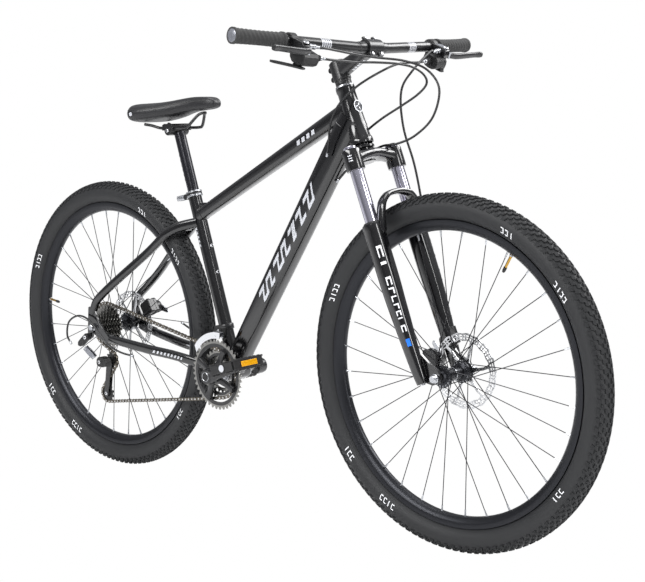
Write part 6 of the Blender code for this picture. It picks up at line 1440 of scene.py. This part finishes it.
# ------------------------------------------------------------------ stage, light and camera
def build_stage(floor_size):
    """White floor and surroundings, soft lights and the camera."""
    scene = bpy.context.scene
    bpy.ops.mesh.primitive_plane_add(size=floor_size, location=(0.5, 0, -0.3705))
    floor = bpy.context.active_object
    floor.name = "studio_floor"
    mat = bpy.data.materials.new("white_sweep")
    mat.use_nodes = True
    tree = mat.node_tree
    tree.nodes["Principled BSDF"].inputs["Base Color"].default_value = (0.80, 0.80, 0.80, 1)
    tree.nodes["Principled BSDF"].inputs["Roughness"].default_value = 0.7
    glow = add_node(tree, "ShaderNodeEmission", Color=(1, 1, 1, 1), Strength=1.0)
    path, mix = add_node(tree, "ShaderNodeLightPath"), tree.nodes.new("ShaderNodeMixShader")
    tree.links.new(path.outputs["Is Camera Ray"], mix.inputs[0])
    tree.links.new(tree.nodes["Principled BSDF"].outputs[0], mix.inputs[1])
    tree.links.new(glow.outputs[0], mix.inputs[2])
    tree.links.new(mix.outputs[0], tree.nodes["Material Output"].inputs["Surface"])
    floor.data.materials.append(mat)
    world = bpy.data.worlds.new("white_studio")
    scene.world = world
    world.use_nodes = True
    tree = world.node_tree
    base = tree.nodes["Background"]
    place = add_node(tree, "ShaderNodeTexCoord")
    split = tree.nodes.new("ShaderNodeSeparateXYZ")
    ramp = tree.nodes.new("ShaderNodeValToRGB")
    ramp.color_ramp.elements[0].position, ramp.color_ramp.elements[0].color = 0.46, (0.16, 0.16, 0.17, 1)
    ramp.color_ramp.elements[1].position, ramp.color_ramp.elements[1].color = 0.95, (0.80, 0.81, 0.84, 1)
    spread = add_node(tree, "ShaderNodeMapRange", From_Min=-1.0, From_Max=1.0)
    white = add_node(tree, "ShaderNodeBackground", Color=(1, 1, 1, 1), Strength=1.0)
    path, mix = tree.nodes.new("ShaderNodeLightPath"), tree.nodes.new("ShaderNodeMixShader")
    tree.links.new(place.outputs["Generated"], split.inputs[0])
    tree.links.new(split.outputs["Z"], spread.inputs["Value"])
    tree.links.new(spread.outputs["Result"], ramp.inputs[0])
    tree.links.new(ramp.outputs[0], base.inputs[0])
    base.inputs["Strength"].default_value = 0.9
    tree.links.new(path.outputs["Is Camera Ray"], mix.inputs[0])
    tree.links.new(base.outputs[0], mix.inputs[1])
    tree.links.new(white.outputs[0], mix.inputs[2])
    tree.links.new(mix.outputs[0], tree.nodes["World Output"].inputs["Surface"])
    target = Vector((0.55, 0, 0.10))
    for name, at, size, power in (("long_softbox_left", (2.2, 2.6, 2.4), (3.0, 1.2), 110),
        ("long_softbox_right", (0.2, -3.4, 2.2), (3.4, 1.0), 120),
        ("front_strip", (4.6, -0.4, 1.2), (0.6, 2.6), 60), ("top_box", (0.4, 0.2, 3.6), (2.6, 2.6), 90)):
        data = bpy.data.lights.new(name, "AREA")
        data.shape, data.size, data.size_y, data.energy = "RECTANGLE", size[0], size[1], power
        lamp = bpy.data.objects.new(name, data)
        lamp.location = at
        lamp.rotation_euler = (target - Vector(at)).to_track_quat("-Z", "Y").to_euler()
        scene.collection.objects.link(lamp)
    data = bpy.data.cameras.new("studio_camera")
    data.lens, data.sensor_width = 72.40, 36.0
    data.shift_x, data.shift_y = -0.0174, -0.0235
    camera = bpy.data.objects.new("studio_camera", data)
    a, e, ro = math.radians(42.703), math.radians(7.107), math.radians(-1.091)
    back = Vector((math.sin(a) * math.cos(e), -math.cos(a) * math.cos(e), math.sin(e)))
    right = Vector((math.cos(a), math.sin(a), 0))
    up = right.cross(-back)
    right, up = right * math.cos(ro) + up * math.sin(ro), up * math.cos(ro) - right * math.sin(ro)
    turn = Matrix((right, up, back)).transposed().to_4x4()
    camera.matrix_world = Matrix.Translation((2.6812, -2.0687, 0.5298)) @ turn
    scene.collection.objects.link(camera)
    scene.camera = camera
    scene.view_settings.view_transform = "Standard"
    scene.view_settings.look = "None"


# ------------------------------------------------------------------ add-on
class BikeLooks(bpy.types.PropertyGroup):
    """Sizes and colours that a user may change before building."""

    paint: bpy.props.FloatVectorProperty(name="Frame paint",
        description="Colour of the gloss paint on the frame and fork", default=linear("0a0a0c"),
        subtype="COLOR", min=0, max=1)
    marks: bpy.props.FloatVectorProperty(name="Pale marks",
        description="Colour of the plain marks under the lacquer", default=linear("c9cbd0"), subtype="COLOR",
        min=0, max=1)
    reflectors: bpy.props.FloatVectorProperty(name="Pedal reflectors",
        description="Colour of the pedals' reflectors", default=linear("d99a10"), subtype="COLOR", min=0,
        max=1)
    front_valve: bpy.props.FloatProperty(name="Front valve angle",
        description="Where the front valve stands round its wheel, above the forward direction",
        default=math.radians(60), subtype="ANGLE")
    rear_valve: bpy.props.FloatProperty(name="Rear valve angle",
        description="Where the rear valve stands round its wheel, above the forward direction",
        default=math.radians(172), subtype="ANGLE")
    floor_size: bpy.props.FloatProperty(name="Floor size", description="Side of the white studio floor",
        default=40.0, unit="LENGTH", min=4)


class BIKE_OT_frame(bpy.types.Operator):
    """Build the painted frame and the seat collar with its cam lever"""

    bl_idname = "bike.frame"
    bl_label = "Frame and seat collar"
    bl_options = {"REGISTER", "UNDO"}

    def execute(self, context):
        build_frame()
        build_seat_clamp()
        return {"FINISHED"}


class BIKE_OT_fork(bpy.types.Operator):
    """Build the fork's crown, stanchions, preload knob and sliding lowers"""

    bl_idname = "bike.fork"
    bl_label = "Fork"
    bl_options = {"REGISTER", "UNDO"}

    def execute(self, context):
        build_fork()
        build_lowers()
        return {"FINISHED"}


class BIKE_OT_front_wheel(bpy.types.Operator):
    """Build the front wheel with tyre, rim, laced spokes, hub and disc"""

    bl_idname = "bike.front_wheel"
    bl_label = "Front wheel"
    bl_options = {"REGISTER", "UNDO"}

    def execute(self, context):
        build_wheel("front", FRONT_AXLE, (-0.0330, 0.0290), 0.0230, 0.0135, (-0.0432, 0.0432), FRONT_ROTOR_Y,
            context.scene.bike_looks.front_valve)
        return {"FINISHED"}


class BIKE_OT_rear_wheel(bpy.types.Operator):
    """Build the rear wheel with tyre, rim, laced spokes, hub and disc"""

    bl_idname = "bike.rear_wheel"
    bl_label = "Rear wheel"
    bl_options = {"REGISTER", "UNDO"}

    def execute(self, context):
        build_wheel("rear", REAR_AXLE, (-0.0195, 0.0330), 0.0240, 0.0150, (-0.0238, 0.0607), REAR_ROTOR_Y,
            context.scene.bike_looks.rear_valve)
        return {"FINISHED"}


class BIKE_OT_axles(bpy.types.Operator):
    """Build both wheel axles and their cam levers"""

    bl_idname = "bike.axles"
    bl_label = "Axles and cam levers"
    bl_options = {"REGISTER", "UNDO"}

    def execute(self, context):
        build_axles()
        return {"FINISHED"}


class BIKE_OT_drivetrain(bpy.types.Operator):
    """Build the cassette, chainrings and both crank arms"""

    bl_idname = "bike.drivetrain"
    bl_label = "Cassette and cranks"
    bl_options = {"REGISTER", "UNDO"}

    def execute(self, context):
        build_cassette()
        build_crankset()
        return {"FINISHED"}


class BIKE_OT_pedals(bpy.types.Operator):
    """Build both platform pedals"""

    bl_idname = "bike.pedals"
    bl_label = "Pedals"
    bl_options = {"REGISTER", "UNDO"}

    def execute(self, context):
        build_pedal(-1, "right")
        build_pedal(1, "left")
        return {"FINISHED"}


class BIKE_OT_chain(bpy.types.Operator):
    """Build the chain link by link"""

    bl_idname = "bike.chain"
    bl_label = "Chain"
    bl_options = {"REGISTER", "UNDO"}

    def execute(self, context):
        build_chain()
        return {"FINISHED"}


class BIKE_OT_derailleurs(bpy.types.Operator):
    """Build the rear and front derailleurs with the jockey wheels"""

    bl_idname = "bike.derailleurs"
    bl_label = "Derailleurs"
    bl_options = {"REGISTER", "UNDO"}

    def execute(self, context):
        build_rear_derailleur()
        build_front_derailleur()
        return {"FINISHED"}


class BIKE_OT_brakes(bpy.types.Operator):
    """Build both brake calipers with their cable arms"""

    bl_idname = "bike.brakes"
    bl_label = "Disc brakes"
    bl_options = {"REGISTER", "UNDO"}

    def execute(self, context):
        build_brakes()
        return {"FINISHED"}


class BIKE_OT_cockpit(bpy.types.Operator):
    """Build the stem, face plate, bar and grips"""

    bl_idname = "bike.cockpit"
    bl_label = "Stem and bar"
    bl_options = {"REGISTER", "UNDO"}

    def execute(self, context):
        build_cockpit()
        build_grips()
        return {"FINISHED"}


class BIKE_OT_controls(bpy.types.Operator):
    """Build the brake levers, shifter housings and shift paddles"""

    bl_idname = "bike.controls"
    bl_label = "Levers and shifters"
    bl_options = {"REGISTER", "UNDO"}

    def execute(self, context):
        build_controls()
        return {"FINISHED"}


class BIKE_OT_seat(bpy.types.Operator):
    """Build the seat post, rails and padded saddle"""

    bl_idname = "bike.seat"
    bl_label = "Seat post and saddle"
    bl_options = {"REGISTER", "UNDO"}

    def execute(self, context):
        build_seat()
        return {"FINISHED"}


class BIKE_OT_cables(bpy.types.Operator):
    """Build the brake and shift casings"""

    bl_idname = "bike.cables"
    bl_label = "Cables"
    bl_options = {"REGISTER", "UNDO"}

    def execute(self, context):
        build_cables()
        return {"FINISHED"}


class BIKE_OT_stage(bpy.types.Operator):
    """Build the floor, the surroundings, the lights and the camera"""

    bl_idname = "bike.stage"
    bl_label = "White studio"
    bl_options = {"REGISTER", "UNDO"}

    def execute(self, context):
        build_stage(context.scene.bike_looks.floor_size)
        return {"FINISHED"}


OPERATORS = (
    BIKE_OT_frame,
    BIKE_OT_fork,
    BIKE_OT_front_wheel,
    BIKE_OT_rear_wheel,
    BIKE_OT_axles,
    BIKE_OT_drivetrain,
    BIKE_OT_pedals,
    BIKE_OT_chain,
    BIKE_OT_derailleurs,
    BIKE_OT_brakes,
    BIKE_OT_cockpit,
    BIKE_OT_controls,
    BIKE_OT_seat,
    BIKE_OT_cables,
    BIKE_OT_stage,
)


class BIKE_PT_build(bpy.types.Panel):
    """Lists the looks and every build step."""

    bl_label = "Hardtail bike"
    bl_space_type = "VIEW_3D"
    bl_region_type = "UI"
    bl_category = "Bike"

    def draw(self, context):
        for name in BikeLooks.__annotations__:
            self.layout.prop(context.scene.bike_looks, name)
        for step in OPERATORS:
            self.layout.operator(step.bl_idname)


CLASSES = (BikeLooks, *OPERATORS, BIKE_PT_build)


def register():
    """Make the looks, steps and panel known to Blender."""
    for cls in CLASSES:
        bpy.utils.register_class(cls)
    bpy.types.Scene.bike_looks = bpy.props.PointerProperty(type=BikeLooks)


def unregister():
    """Take them away again."""
    del bpy.types.Scene.bike_looks
    for cls in reversed(CLASSES):
        bpy.utils.unregister_class(cls)


def main():
    """Build everything in order."""
    register()
    for step in OPERATORS:
        getattr(bpy.ops.bike, step.bl_idname.split(".")[1])()


if __name__ == "__main__":
    main()
